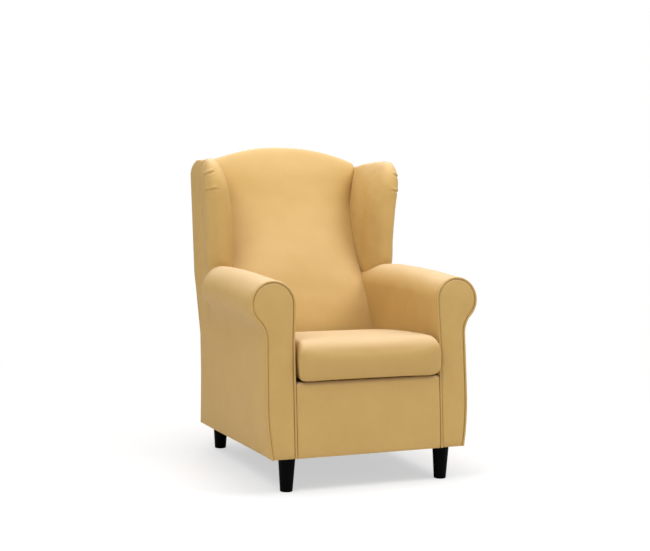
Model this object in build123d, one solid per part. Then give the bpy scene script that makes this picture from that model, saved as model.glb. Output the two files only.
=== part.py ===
from build123d import *
import os
from math import cos, radians, sin, sqrt, tan

# Wing-back armchair. Millimetres, +Z up, -Y is the front, left and right as seen from the front.
# The origin is on the floor, under the middle of the chair's box.

# Overall size and the base, whose bottom edge falls a little towards the rear
DEPTH = 795.0
HEIGHT = 1012.0
FRONT_Y = -DEPTH / 2
REAR_Y = 304.5
BASE_FRONT_Z = 102.0
BASE_REAR_Z = 83.0
BASE_FALL = (BASE_FRONT_Z - BASE_REAR_Z) / (REAR_Y - FRONT_Y)
FRAME_LIFT = 2.0

# Outside back: upright up to the bend, then raked
BEND_Z = 390.0
OUTSIDE_BACK_TOP = 982.0
RAKE = (DEPTH / 2 - REAR_Y) / (OUTSIDE_BACK_TOP - BEND_Z)

# Arm fronts, which lean back, and the scroll outline drawn on them
LEAN = radians(5.4)
INNER_X = 235.0
ROLL_RADIUS = 67.0
ROLL_UP = 450.0
WAIST_X = 321.0
FOOT_DRAW_IN = 9.0
FOOT_UP = -40.0
WAIST_UP = 339.5
WAIST_Z = BASE_FRONT_Z + WAIST_UP * cos(LEAN)
TAPER = 0.0157
NECK = cos(radians(45))
# Along the arm: distance behind the front, swelling of the roll, rise of the roll
ARM_STATIONS = [(7.0, 0.0, 0.0), (70.0, 2.0, 6.0), (300.0, 2.0, 10.0), (553.0, 0.0, 8.0)]

# Cloth, padding and board thicknesses, and the gaps left between pieces
COVER = 3.0
GAP = 0.3
ROOM = 1.0
LINING = 3.0
FACING = 7.0
PIPING_RADIUS = 3.2
PIPING_INSET = 3.6
PIPING_ROOM = 0.1
ARM_BOARD = 18.0
ARM_BOARD_INSET = 4.5
ARM_FILL_FRONT = FACING + ARM_BOARD + ROOM
ARM_FOAM = 20.0
FOAM_INSET = COVER + 0.05
# The inside and outside of the arm part at this x, and its foam at these heights
ARM_SPLIT_X = 285.0
ROLL_FOAM_BOTTOM = 500.0
INNER_FOAM_UP = (205.0, 397.0)

# Wings: a fat roll round the front and top, flaring and bowing out as it rises
ARM_TOP = 630.0
WING_X = 287.0
WING_FLARE = 0.053
WING_BOW = 0.00024
WING_BOW_Z = 750.0
WING_RADIUS = 49.0
WING_DEPTH = 1.8
WING_FRONT_Y = 137.0
WING_BOTTOM = 575.0
WING_TOP = 969.0
# Rounds at a wing's top: height over which each draws in, and how far
TOP_FRONT = (109.0, 60.0)
TOP_INNER = (189.0, 52.0)
TOP_OUTER = (40.0, 28.0)
WING_LEVELS = [WING_BOTTOM, 720.0, 790.0, 850.0, 895.0, 922.0, 942.0, 956.0, 965.0]
# Behind this y the wing's top falls towards the rear
TOP_FALL_Y = 250.0
TOP_FALL = 0.155
GROOVE_Y = 280.0
GROOVE_STEP = 5.0
WING_OUTER = (319.0, 256.0, 634.0)
WING_OUTER_PER_Y = -0.09
WING_OUTER_PER_Z = 0.054
OUTSIDE_WING_TOP = 944.0
OUTSIDE_WING_X = (200.0, 400.0)
# The outside wing's front top corner: distance behind the groove, height
OUTSIDE_WING_CORNER = [(GAP, 885.0), (20.0, 925.0), (45.0, OUTSIDE_WING_TOP)]

# Back pad: height, front face at its edges and in the middle, and an arched top
BACK_BOTTOM = 305.0
BACK_FRONT = [
    (BACK_BOTTOM, 106.0, 84.0),
    (480.0, 158.0, 127.0),
    (640.0, 246.0, 196.0),
    (790.0, 308.0, 259.0),
]
BACK_TOP_FRONT = (332.0, 314.0)
BACK_SQUARE = 0.65
BACK_HALF = 255.0
ARCH_RADIUS = 620.0
BACK_LOFT_X = [0.0, 110.0, 190.0, 230.0, 262.0]
BACK_SIDE_LOW = (234.5, 575.0)
BACK_SIDE_HIGH = (254.5, 960.0)
TOP_ROUND = 0.42

# Depths measured forward from the outside back
POST_FRONT = 34.0
WEBBING = 2.5
LINING_FRONT = 6.3
BACK_LINING_INSET = 8.0

# Outside back seen from behind: how its side comes down from the wing's top to the base
OUTSIDE_BACK_SHOULDER = 13.0
OUTSIDE_BACK_FOOT = 60.0
OUTSIDE_BACK_SIDE = [
    (303.0, OUTSIDE_WING_TOP),
    (326.0, 905.0),
    (314.0, ARM_TOP),
    (310.0, 437.0),
    (302.0, OUTSIDE_BACK_FOOT),
]

# Seat: border, deck and loose cushion
BORDER_HALF = 234.6
BORDER_COVER = 2.5
BORDER_FOAM = 8.5
FRONT_BOARD = 22.5
DECK_TOP = 321.0
DECK_COVER = 2.5
DECK_FOAM_BOTTOM = 293.0
DECK_HALF = 233.5
DECK_FRONT_Y = -352.0
DECK_REAR_Y = 78.0
CUSHION_HALF = 231.0
CUSHION_SHIFT_X = 3.4
CUSHION_FRONT_Y = -394.0
CUSHION_REAR_Y = 74.0
CUSHION_BOTTOM = 322.0
CUSHION_TOP = 446.0
CUSHION_EDGE_TOP = 437.0
CUSHION_NOSE = 52.0
CUSHION_NOSE_DROP = 4.0
CUSHION_TOE = 34.0
CUSHION_CROWN_AHEAD = 30.0
CUSHION_REAR_DROP = 12.0
CUSHION_REAR_BEVEL = 14.0
CUSHION_REAR_DRAW = 0.3
CUSHION_LIFT_FROM = 7.0
# From the middle to an end: share of the half width, how far the outline draws in
CUSHION_STATIONS = [(0.0, 0.0), (0.45, 0.5), (0.82, 2.5), (0.93, 7.0), (0.985, 16.0), (1.0, 26.0)]

# Cushion zip
ZIP_LENGTH = 400.0
ZIP_Z = 382.0
ZIP_TAPE = (1.2, 24.0)
ZIP_TEETH = (1.6, 5.0)
ZIP_Y = CUSHION_REAR_Y + 0.1
SLIDER_FROM_END = 12.0
SLIDER_ROUND = 2.0
SLIDER_SIZE = (9.0, 3.4, 9.0)
SLIDER_PULL = (5.0, 1.4, 22.0)
PULL_DROP = 1.0

# Timber
RAIL = 20.0
SIDE_RAIL_TOP = 190.0
SIDE_RAIL_FRONT = (307.0, -362.0)
SIDE_RAIL_REAR_X = 296.0
REAR_RAIL_TOP = 150.0
FRONT_BOARD_TOP = 280.0
SEAT_RAIL = (262.0, 282.0, 243.0, 283.0)
SEAT_RAIL_REAR_Y = (150.0, 172.0)
POST_X = (240.0, 274.0)
POST_TOP = 905.0
TOP_RAIL_BOTTOM = 885.0
TOP_RAIL_DROP = 38.0
LUMBAR_RAIL = (400.0, 440.0)
ARM_RAIL = (256.0, 300.0, 520.0, 555.0)
WING_PANEL_X = (274.0, 288.0)
WING_PANEL_FRONT = (190.0, 830.0)
WING_PANEL_SHOULDER = (240.0, 880.0)
WING_PANEL_TAIL = (225.0, WING_BOTTOM + 15.0)
WING_PANEL_FOOT = ARM_TOP + 12.0
WING_PANEL_REAR = LINING_FRONT + 2.0

# Springs and webbing
SPRING_X = [-165.0, -82.0, 0.0, 82.0, 165.0]
SPRING_Z = 287.0
SPRING_WIRE = 1.9
SPRING_SWING = 22.0
SPRING_PITCH = 24.0
SPRING_BEND = 9.0
SPRING_ENDS = (DECK_FRONT_Y - 8.0, sum(SEAT_RAIL_REAR_Y) / 2)
CLIP = 6.0
CLIP_OVER = 3.0
CLIP_GAP = 1.6
WEBBING_X = [-170.0, -85.0, 0.0, 85.0, 170.0]
WEBBING_WIDTH = 50.0
WEBBING_LAP = (5.0, 25.0)

# Legs and their fixings
LEG_FRONT = (254.0, -356.0)
LEG_REAR = (248.0, 267.0)
LEG_TOP_RADIUS = 25.5
LEG_FOOT_RADIUS = 18.5
LEG_FOOT_ROUND = 2.0
BOLT_RADIUS = 4.0
BOLT_DEPTH = 28.0
BOLT_ROOM = 0.3
NUT_ROOM = 0.1
NUT_BARREL = (5.5, 10.0)
NUT_FLANGE = (10.0, 1.5)
BLOCK_FRONT = (226.0, 285.0, -365.0, -300.0, 160.0)
BLOCK_REAR = (214.0, 275.0, 212.0, 277.5, 148.0)

# Cutting forms run this far past what they cut, or far past everything
PAST = 20.0
FAR = 700.0


# Helpers
def block(x0, x1, y0, y1, z0, z1):
    """A box between two corners."""
    return Pos((x0 + x1) / 2, (y0 + y1) / 2, (z0 + z1) / 2) * Box(x1 - x0, y1 - y0, z1 - z0)


def base_z(y):
    """Height of the base's bottom edge."""
    return BASE_FRONT_Z - BASE_FALL * (y - FRONT_Y)


def base_plane(lift):
    """The sloping underside, raised by lift."""
    return Plane(origin=(0, FRONT_Y, BASE_FRONT_Z + lift), x_dir=(1, 0, 0), z_dir=(0, BASE_FALL, 1))


def above_base(solid, lift):
    """What of a solid is above the underside."""
    return solid - extrude(base_plane(lift) * Rectangle(2 * FAR, 4 * FAR), amount=-FAR)


def below_base(solid, lift):
    """What of a solid is below the underside."""
    return solid - extrude(base_plane(lift) * Rectangle(2 * FAR, 4 * FAR), amount=FAR)


def rear_y(z):
    """The outside back's surface at a height."""
    return REAR_Y + RAKE * max(0.0, z - BEND_Z)


def outline_face(points):
    """A flat face round a list of corners."""
    return make_face(Polyline(*points, close=True))


def side_prism(points, x0, x1):
    """A prism of a (y, z) outline between two x."""
    face = Plane.YZ * outline_face(points)
    return Pos(x0, 0, 0) * extrude(face, amount=x1 - x0)


def rear_slab(x0, x1, z0, z1, near, far):
    """A board that follows the outside back, between two depths in front of it."""
    heights = [z0] + [BEND_Z] * (z0 < BEND_Z < z1) + [z1]
    behind = [(rear_y(z) - near, z) for z in heights]
    ahead = [(rear_y(z) - far, z) for z in reversed(heights)]
    return side_prism(behind + ahead, x0, x1)


def lean_plane(offset):
    """A plane along the leaning arm fronts, its foot a distance behind the front edge."""
    foot = (0, FRONT_Y + offset, BASE_FRONT_Z)
    return Plane(origin=foot, x_dir=(1, 0, 0), z_dir=(0, -cos(LEAN), sin(LEAN)))


def between(face, front, rear):
    """A face carried straight back from one leaning plane to another."""
    return loft([lean_plane(front) * face, lean_plane(rear) * face], ruled=True)


def mirrored(solid):
    """The left-hand copy of a right-hand piece."""
    return mirror(solid, about=Plane.YZ)


def wing_round(z, height, draw):
    """How far a quarter ellipse that ends at the wing's top has drawn in at a height."""
    rise = min(max((z - WING_TOP) / height + 1, 0.0), 1.0)
    return draw * (1 - sqrt(1 - rise * rise))


# Arms
def scroll_curve(inset=0.0, swell=0.0, rise=0.0, taper=0.0):
    """Foot, waist, hollow neck, roll and inside face of an arm, on its leaning plane."""
    radius = ROLL_RADIUS + swell - inset
    roll_x = INNER_X + ROLL_RADIUS + swell
    roll_up = ROLL_UP + rise
    waist = WAIST_X - taper - inset
    foot = waist - FOOT_DRAW_IN
    hollow = (roll_x + radius * NECK - waist) / (1 - NECK)
    neck_up = roll_up - (radius + hollow) * NECK

    def on_roll(angle):
        return (roll_x + radius * cos(radians(angle)), roll_up + radius * sin(radians(angle)))

    def on_neck(angle):
        return (waist + hollow * (1 - cos(radians(angle))), neck_up + hollow * sin(radians(angle)))

    edges = [
        ThreePointArc((foot, FOOT_UP), (waist - FOOT_DRAW_IN / 4, (FOOT_UP + neck_up) / 2), on_neck(0)),
        ThreePointArc(on_neck(0), on_neck(22.5), on_neck(45)),
    ]
    for start in (-45, 30, 105):
        edges.append(ThreePointArc(on_roll(start), on_roll(start + 37.5), on_roll(start + 75)))
    edges.append(Line(on_roll(180), (roll_x - radius, FOOT_UP)))
    return edges


def scroll_face(**shape):
    """The scroll outline closed along its foot."""
    edges = scroll_curve(**shape)
    closing = Line(edges[-1] @ 1, edges[0] @ 0)
    return make_face(edges + [closing])


def arm_body(inset, ahead=0.0, rear_trim=0.0):
    """The whole arm as one form, drawn in all round by inset and run on ahead of its front."""
    stations = list(ARM_STATIONS)
    if ahead > 0:
        offset, swell, rise = stations[0]
        stations.insert(0, (offset - ahead, swell, rise))
    sections = []
    for offset, swell, rise in stations:
        if offset == ARM_STATIONS[-1][0]:
            offset = offset - rear_trim
        face = scroll_face(inset=inset, swell=swell, rise=rise, taper=TAPER * max(offset, 0.0))
        sections.append(lean_plane(offset) * face)
    return loft(sections, ruled=True)


def side_band(inset, thickness, taper, top):
    """The curved strip of an outside arm, seen from its end."""
    outer = WAIST_X - taper - inset
    middle = (FOOT_UP + top) / 2

    def strip(x):
        return (x - FOOT_DRAW_IN, FOOT_UP), (x - FOOT_DRAW_IN / 4, middle), (x, top)

    near = ThreePointArc(*strip(outer))
    far = ThreePointArc(*strip(outer - thickness))
    return make_face([near, Line(near @ 1, far @ 1), far, Line(far @ 0, near @ 0)])


def outside_arm(inset, thickness, front, rear_gap, lift):
    """An outside arm panel from the arm front to the outside back."""
    rear = REAR_Y - rear_gap
    rear_plane = Plane(origin=(0, rear, BASE_FRONT_Z), x_dir=(1, 0, 0), z_dir=(0, -1, 0))
    first = lean_plane(front) * side_band(inset, thickness, TAPER * front, WAIST_UP)
    last = rear_plane * side_band(inset, thickness, TAPER * (rear - FRONT_Y), WAIST_UP * cos(LEAN))
    return above_base(loft([first, last], ruled=True), lift)


def arm_cover():
    """Cloth of the inside arm and over the roll, down to the hollow under it."""
    shell = arm_body(0.0) - arm_body(COVER, ahead=PAST, rear_trim=COVER)
    shell -= block(ARM_SPLIT_X, FAR, -FAR, FAR, 0, WAIST_Z)
    return shell - block(0, FAR, -FAR, FAR, 0, DECK_FOAM_BOTTOM) - arm_rail_box()


def arm_front_board():
    """Shaped board behind the arm facing."""
    board = between(scroll_face(inset=ARM_BOARD_INSET), FACING, FACING + ARM_BOARD)
    return above_base(board, FRAME_LIFT)


def arm_facing():
    """Covered pad on the arm's front, inside the ring of piping."""
    pad = between(scroll_face(inset=2 * PIPING_INSET + PIPING_ROOM), 0.0, FACING)
    return above_base(pad, 0.0)


def arm_piping():
    """Piping round the facing, from the outer foot over the roll and down the inside."""
    plane = lean_plane(FACING / 2)
    path = plane * Wire(scroll_curve(inset=PIPING_INSET))
    start = path @ 0
    section = Plane(origin=start, z_dir=path % 0) * Circle(PIPING_RADIUS)
    return above_base(sweep(section, path=path), 0.0)


def arm_rail_box():
    """Timber inside the roll, running back to the post."""
    x0, x1, z0, z1 = ARM_RAIL
    up0 = (z0 - BASE_FRONT_Z) / cos(LEAN)
    up1 = (z1 - BASE_FRONT_Z) / cos(LEAN)
    bar = outline_face([(x0, up0), (x1, up0), (x1, up1), (x0, up1)])
    behind_post = rear_slab(0, FAR, 0, HEIGHT, -FAR, POST_FRONT)
    return between(bar, ARM_FILL_FRONT, REAR_Y - FRONT_Y) - behind_post


def arm_roll_foam():
    """Filling of the roll, round its timber, and of the hollow under it."""
    body = arm_body(FOAM_INSET, rear_trim=FOAM_INSET)
    body -= between(scroll_face(inset=-PAST), -PAST, ARM_FILL_FRONT)
    body -= block(0, ARM_SPLIT_X, -FAR, FAR, 0, ROLL_FOAM_BOTTOM)
    body -= block(0, FAR, -FAR, FAR, 0, WAIST_Z + GAP)
    return body - arm_rail_box()


def arm_inner_foam():
    """Padding of the inside arm, between the seat and the roll."""
    x0 = INNER_X + COVER + GAP
    x1 = x0 + ARM_FOAM
    up0, up1 = INNER_FOAM_UP
    face = outline_face([(x0, up0), (x1, up0), (x1, up1), (x0, up1)])
    return between(face, ARM_FILL_FRONT, ARM_STATIONS[-1][0] - COVER - GAP)


# Wings
def wing_outer_x(y, z):
    """The flat plane that the outside wing lies on."""
    x, at_y, at_z = WING_OUTER
    return x + WING_OUTER_PER_Y * (y - at_y) + WING_OUTER_PER_Z * (z - at_z)


def wing_section(z, inset, rear_gap):
    """Plan of a wing at a height: inside face, round front, groove and outside face."""
    outer_draw = wing_round(z, *TOP_OUTER)
    flared = WING_X + WING_FLARE * (z - ARM_TOP)
    centre = flared + WING_BOW * (z - WING_BOW_Z) ** 2
    inner_x = centre - WING_RADIUS + wing_round(z, *TOP_INNER)
    outer_x = centre + WING_RADIUS - outer_draw
    x = (inner_x + outer_x) / 2
    full = (outer_x - inner_x) / 2
    y = WING_FRONT_Y + wing_round(z, *TOP_FRONT) + WING_DEPTH * full
    radius = full - inset
    depth = WING_DEPTH * full - inset
    rear = rear_y(z) - rear_gap
    draw_in = inset + outer_draw
    groove = (wing_outer_x(GROOVE_Y, z) - COVER - GAP - draw_in, GROOVE_Y)
    outer_rear = (wing_outer_x(rear, z) - COVER - GAP - draw_in, rear)
    inner_rear = (flared - WING_RADIUS + inset, rear)
    flank = (x + radius - GROOVE_STEP, GROOVE_Y - GROOVE_STEP)
    edges = [
        EllipticalCenterArc((x, y), radius, depth, 180, arc_size=90),
        EllipticalCenterArc((x, y), radius, depth, 270, arc_size=90),
        Line((x + radius, y), flank),
        Line(flank, groove),
        Line(groove, outer_rear),
        Line(outer_rear, inner_rear),
        Line(inner_rear, (x - radius, y)),
    ]
    return Pos(0, 0, z) * make_face(edges)


def above_wing(drop):
    """Everything over the wing's falling top line, lowered by drop."""
    y0, z0 = TOP_FALL_Y, WING_TOP - drop
    points = [(y0, z0), (y0 + FAR, z0 - TOP_FALL * FAR), (y0 + FAR, z0 + FAR), (y0, z0 + FAR)]
    return side_prism(points, 0, FAR)


def wing_body(inset, rear_gap):
    """A wing's whole form, drawn in by inset, its top lowered as much."""
    round_z = WING_TOP - TOP_OUTER[0]
    levels = [z for z in WING_LEVELS if z < round_z]
    tops = [z - inset for z in WING_LEVELS if z >= round_z]
    body = loft([wing_section(z, inset, rear_gap) for z in levels + tops], ruled=True)
    return body - above_wing(inset)


def wing_cover():
    """Cloth of the inside wing and its roll, sitting on the arm."""
    rear_gap = LINING_FRONT + GAP
    shell = wing_body(0.0, rear_gap) - wing_body(COVER, rear_gap)
    return shell - arm_body(-GAP) - back_post()


def wing_foam():
    """Filling of a wing, round its panel and outside the post."""
    body = wing_body(FOAM_INSET, LINING_FRONT + GAP)
    inside_post = rear_slab(0, POST_X[1], REAR_RAIL_TOP, POST_TOP, LINING_FRONT, POST_FRONT)
    return body - arm_body(-GAP) - wing_panel() - inside_post


def wing_panel():
    """Board inside a wing, fixed to the post."""
    front_y = WING_PANEL_FRONT[0]
    top = WING_PANEL_SHOULDER[1]
    tail_y, tail_z = WING_PANEL_TAIL
    points = [
        (front_y, WING_PANEL_FOOT),
        WING_PANEL_FRONT,
        WING_PANEL_SHOULDER,
        (rear_y(top) - WING_PANEL_REAR, top),
        (rear_y(tail_z) - WING_PANEL_REAR, tail_z),
        (tail_y, tail_z),
        (tail_y, WING_PANEL_FOOT),
    ]
    return side_prism(points, *WING_PANEL_X)


def outside_wing_cover():
    """Flat cloth panel of the outside wing, with its tail down behind the arm's end."""
    low = WAIST_Z + GAP
    under_wing = WING_BOTTOM - ROOM
    arm_end = FRONT_Y + ARM_STATIONS[-1][0] + ROOM
    rear_gap = COVER + GAP
    points = [
        (arm_end + (low - BASE_FRONT_Z) * tan(LEAN), low),
        (arm_end + (WING_BOTTOM - BASE_FRONT_Z) * tan(LEAN), under_wing),
        (GROOVE_Y + GAP, under_wing),
    ]
    points += [(GROOVE_Y + back, z) for back, z in OUTSIDE_WING_CORNER]
    points += [
        (rear_y(OUTSIDE_WING_TOP) - rear_gap, OUTSIDE_WING_TOP),
        (rear_y(low) - rear_gap, low),
    ]
    normal = Vector(1, -WING_OUTER_PER_Y, -WING_OUTER_PER_Z)
    plane = Plane(origin=WING_OUTER, x_dir=(-WING_OUTER_PER_Y, -1, 0), z_dir=normal)
    sheet = extrude(plane * Rectangle(2 * FAR, 2 * FAR), amount=COVER)
    return side_prism(points, *OUTSIDE_WING_X) & sheet


# Back
def arch_z(x):
    """Height of the arched top."""
    return HEIGHT - x * x / (2 * ARCH_RADIUS)


def top_arc(x, drop):
    """The arched top's line between -x and x, lowered by drop."""
    end_z = arch_z(x) - drop
    return ThreePointArc((-x, end_z), (0, HEIGHT - drop), (x, end_z))


def back_section(x, inset, rear_gap):
    """Side view of the back pad at x, from the seat up over the arched top."""
    out = min(1.0, abs(x) / BACK_HALF)
    crown = 1 - (1 - BACK_SQUARE) * out**2 - BACK_SQUARE * out**8
    top = arch_z(x) - inset
    front = [(edge + (middle - edge) * crown + inset, z) for z, edge, middle in BACK_FRONT]
    edge, middle = BACK_TOP_FRONT
    front_top_y = edge + (middle - edge) * crown
    rear_top_z = top - TOP_ROUND * (rear_y(top) - front_top_y)
    front_top = (front_top_y + inset, rear_top_z)
    rear_top = (rear_y(rear_top_z) - rear_gap, rear_top_z)
    apex = ((front_top[0] + rear_top[0]) / 2, top)
    edges = [
        ThreePointArc(front[0], front[1], front[2]),
        ThreePointArc(front[2], front[3], front_top),
        ThreePointArc(front_top, apex, rear_top),
        Line(rear_top, (REAR_Y - rear_gap, BEND_Z)),
        Line((REAR_Y - rear_gap, BEND_Z), (REAR_Y - rear_gap, BACK_BOTTOM)),
        Line((REAR_Y - rear_gap, BACK_BOTTOM), front[0]),
    ]
    return Pos(x, 0, 0) * (Plane.YZ * make_face(edges))


def back_sides(inset):
    """The back pad's width between the arms and, wider, between the wings."""
    low_x, low_z = BACK_SIDE_LOW
    high_x, high_z = BACK_SIDE_HIGH
    top_z = HEIGHT + PAST
    top_x = high_x + (high_x - low_x) / (high_z - low_z) * (top_z - high_z)
    right = [(low_x - inset, 0), (low_x - inset, low_z), (top_x - inset, top_z)]
    left = [(-x, z) for x, z in reversed(right)]
    return extrude(Plane.XZ * outline_face(right + left), amount=FAR, both=True)


def back_body(inset, rear_gap):
    """The back pad's whole form, drawn in by inset."""
    places = [-x for x in reversed(BACK_LOFT_X[1:])] + BACK_LOFT_X
    form = loft([back_section(x, inset, rear_gap) for x in places])
    return form & back_sides(inset)


def frame_zone():
    """The room behind the back pad, under its arched top, that rails and posts take."""
    slab = rear_slab(-FAR, FAR, 0, HEIGHT, -FAR, POST_FRONT + WEBBING + GAP)
    return slab & arch_prism(TOP_RAIL_DROP - ROOM)


def arch_prism(drop):
    """Everything under an arch that lies below the back's top."""
    x = BACK_HALF + PAST
    arch = top_arc(x, drop)
    foot = Polyline(arch @ 1, (x, 0), (-x, 0), arch @ 0)
    return extrude(Plane.XZ * make_face([arch, foot]), amount=FAR, both=True)


def inside_back_cover():
    """Cloth over the front of the back pad and over its top."""
    shell = back_body(0.0, COVER + GAP) - back_body(COVER, LINING_FRONT + GAP)
    return shell - frame_zone()


def back_foam():
    """Filling of the back, thick at the waist and folded over the top rail."""
    return back_body(FOAM_INSET, LINING_FRONT + GAP) - frame_zone()


def outside_back_outline(inset):
    """The outside back seen from behind: nearly straight sides, wing tops and an arch."""
    arch = top_arc(BACK_HALF, HEIGHT - OUTSIDE_BACK_TOP + inset)
    wing_top = OUTSIDE_WING_TOP - inset
    right = [(BACK_HALF, (arch @ 1).Y), (BACK_HALF + OUTSIDE_BACK_SHOULDER, wing_top)]
    right += [(x - inset, min(z, wing_top)) for x, z in OUTSIDE_BACK_SIDE]
    left = [(-x, z) for x, z in reversed(right)]
    return Plane.XZ * make_face([arch, Polyline(*right, *left)])


def rear_sheet(inset, near, far, lift):
    """A sheet of the outside back's outline, between two depths."""
    sheet = rear_slab(-FAR, FAR, OUTSIDE_BACK_FOOT, HEIGHT, near, far)
    return above_base(sheet & extrude(outside_back_outline(inset), amount=FAR, both=True), lift)


def back_post():
    """Upright at a rear corner, raked above the bend."""
    return rear_slab(*POST_X, REAR_RAIL_TOP, POST_TOP, LINING_FRONT, POST_FRONT)


def back_top_rail():
    """Arched rail between the posts."""
    board = rear_slab(-POST_X[0], POST_X[0], TOP_RAIL_BOTTOM, HEIGHT, LINING_FRONT, POST_FRONT)
    return board & arch_prism(TOP_RAIL_DROP)


def back_lumbar_rail():
    """Lower cross rail of the back."""
    return rear_slab(-POST_X[0], POST_X[0], *LUMBAR_RAIL, LINING_FRONT, POST_FRONT)


def back_webbing():
    """Upright elastic straps from the lower rail to the arched one."""
    low = LUMBAR_RAIL[0] + WEBBING_LAP[0]
    high = TOP_RAIL_BOTTOM + WEBBING_LAP[1]
    depths = (POST_FRONT, POST_FRONT + WEBBING)
    half = WEBBING_WIDTH / 2
    return [rear_slab(x - half, x + half, low, high, *depths) for x in WEBBING_X]


# Seat
def border(front, rear, half, top, lift):
    """An upright layer of the front border, on the leaning plane."""
    up = (top - BASE_FRONT_Z) / cos(LEAN)
    face = outline_face([(-half, FOOT_UP), (half, FOOT_UP), (half, up), (-half, up)])
    return above_base(between(face, front, rear), lift)


def border_cover():
    """Cloth of the front border, turned over its top edge."""
    whole = border(0.0, FRONT_BOARD, BORDER_HALF, DECK_TOP, 0.0)
    under = DECK_TOP - DECK_COVER
    return whole - border(BORDER_COVER, FRONT_BOARD + PAST, BORDER_HALF + PAST, under, -PAST)


def border_foam():
    """Padding of the border, with a thicker roll along the seat's front edge."""
    whole = border(BORDER_COVER, FRONT_BOARD, BORDER_HALF, DECK_TOP - DECK_COVER, 0.0)
    room = border(BORDER_FOAM, FRONT_BOARD + PAST, BORDER_HALF + PAST, DECK_FOAM_BOTTOM, -PAST)
    return whole - room


def front_board():
    """Wide front rail behind the border."""
    return border(BORDER_FOAM, FRONT_BOARD, BORDER_HALF, FRONT_BOARD_TOP, FRAME_LIFT)


def zigzag_spring(x):
    """One zig-zag wire from the front board to the rear seat rail."""
    start, end = SPRING_ENDS
    turns = int((end - start) / SPRING_PITCH) - 1
    first = (end - start - (turns - 1) * SPRING_PITCH) / 2
    points = [(x, start, SPRING_Z)]
    for turn in range(turns):
        side = SPRING_SWING if turn % 2 else -SPRING_SWING
        points.append((x + side, start + first + turn * SPRING_PITCH, SPRING_Z))
    points.append((x, end, SPRING_Z))
    path = FilletPolyline(*points, radius=SPRING_BEND)
    section = Plane(origin=path @ 0, z_dir=path % 0) * Circle(SPRING_WIRE)
    return sweep(section, path=path)


def spring_clips():
    """Clips that hold the spring ends on the two rails."""
    clips = []
    for x in SPRING_X:
        for y in SPRING_ENDS:
            foot = FRONT_BOARD_TOP if y < 0 else SEAT_RAIL[3]
            y0 = y - CLIP - CLIP_GAP if y < 0 else y + CLIP_GAP
            clips.append(block(x - CLIP, x + CLIP, y0, y0 + CLIP, foot, SPRING_Z + CLIP_OVER))
    return clips


def cushion_section(share, draw_in, inset):
    """Side view of the cushion: flat underside, full round front, crowned top."""
    gap = draw_in + inset
    front = CUSHION_FRONT_Y + gap
    rear = CUSHION_REAR_Y - inset - CUSHION_REAR_DRAW * draw_in
    bottom = CUSHION_BOTTOM + (gap if draw_in > CUSHION_LIFT_FROM else inset)
    edge = CUSHION_EDGE_TOP - gap
    middle = (edge + bottom) / 2 - CUSHION_NOSE_DROP
    diag = 1 - NECK
    toe_back = (front + CUSHION_TOE, bottom)
    toe_low = (front + CUSHION_TOE * diag, bottom + (middle - bottom) * diag)
    tip = (front, middle)
    nose_high = (front + CUSHION_NOSE * diag, edge - (edge - middle) * diag)
    nose_top = (front + CUSHION_NOSE, edge)
    crown = ((front + rear) / 2 - CUSHION_CROWN_AHEAD, CUSHION_TOP - gap)
    rear_top = (rear - CUSHION_REAR_BEVEL, edge - CUSHION_REAR_DROP)
    rear_high = (rear, edge - CUSHION_REAR_DROP - CUSHION_REAR_BEVEL)
    edges = [
        Line((rear, bottom), toe_back),
        ThreePointArc(toe_back, toe_low, tip),
        ThreePointArc(tip, nose_high, nose_top),
        ThreePointArc(nose_top, crown, rear_top),
        Line(rear_top, rear_high),
        Line(rear_high, (rear, bottom)),
    ]
    x = share * (CUSHION_HALF - inset) + CUSHION_SHIFT_X
    return Pos(x, 0, 0) * (Plane.YZ * make_face(edges))


def cushion_body(inset):
    """The loose cushion's form, crowned and drawn in towards its ends."""
    right = CUSHION_STATIONS[1:]
    left = [(-share, draw_in) for share, draw_in in reversed(right)]
    stations = left + CUSHION_STATIONS
    return loft([cushion_section(share, draw_in, inset) for share, draw_in in stations], ruled=True)


def cushion_zip():
    """Zip along the cushion's rear side: tape with its row of teeth."""
    x0 = CUSHION_SHIFT_X - ZIP_LENGTH / 2
    x1 = x0 + ZIP_LENGTH

    def strip(y, depth, height):
        return block(x0, x1, y, y + depth, ZIP_Z - height / 2, ZIP_Z + height / 2)

    return strip(ZIP_Y, *ZIP_TAPE) + strip(ZIP_Y + ZIP_TAPE[0], *ZIP_TEETH)


def zip_slider():
    """Slider over the teeth, at the closed end, with its pull hanging down."""
    width, depth, height = SLIDER_SIZE
    _, pull_depth, pull_height = SLIDER_PULL
    x = CUSHION_SHIFT_X - ZIP_LENGTH / 2 + SLIDER_FROM_END
    y = ZIP_Y + ZIP_TAPE[0] + GAP
    body = Pos(x, y + depth / 2, ZIP_Z) * Box(width, depth, height)
    body = fillet(body.edges().filter_by(Axis.Y), SLIDER_ROUND)
    room = ZIP_TEETH[1] / 2 + GAP
    body -= block(x - FAR, x + FAR, 0, y + ZIP_TEETH[0] + GAP, ZIP_Z - room, ZIP_Z + room)
    pull_z = ZIP_Z - PULL_DROP - pull_height / 2
    return body + Pos(x, y + depth + pull_depth / 2, pull_z) * Box(*SLIDER_PULL)


# Timber
def side_rail():
    """Bottom rail along a side, tapering in towards the rear."""
    x0, y0 = SIDE_RAIL_FRONT
    y1 = REAR_Y - LINING_FRONT - RAIL
    x1 = SIDE_RAIL_REAR_X
    plan = outline_face([(x0 - RAIL, y0), (x0, y0), (x1, y1), (x1 - RAIL, y1)])
    return above_base(extrude(plan, amount=SIDE_RAIL_TOP), FRAME_LIFT)


def rear_rail():
    """Bottom rail across the rear."""
    half = SIDE_RAIL_REAR_X - ROOM
    y1 = REAR_Y - LINING_FRONT
    return above_base(block(-half, half, y1 - RAIL, y1, 0, REAR_RAIL_TOP), FRAME_LIFT)


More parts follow.
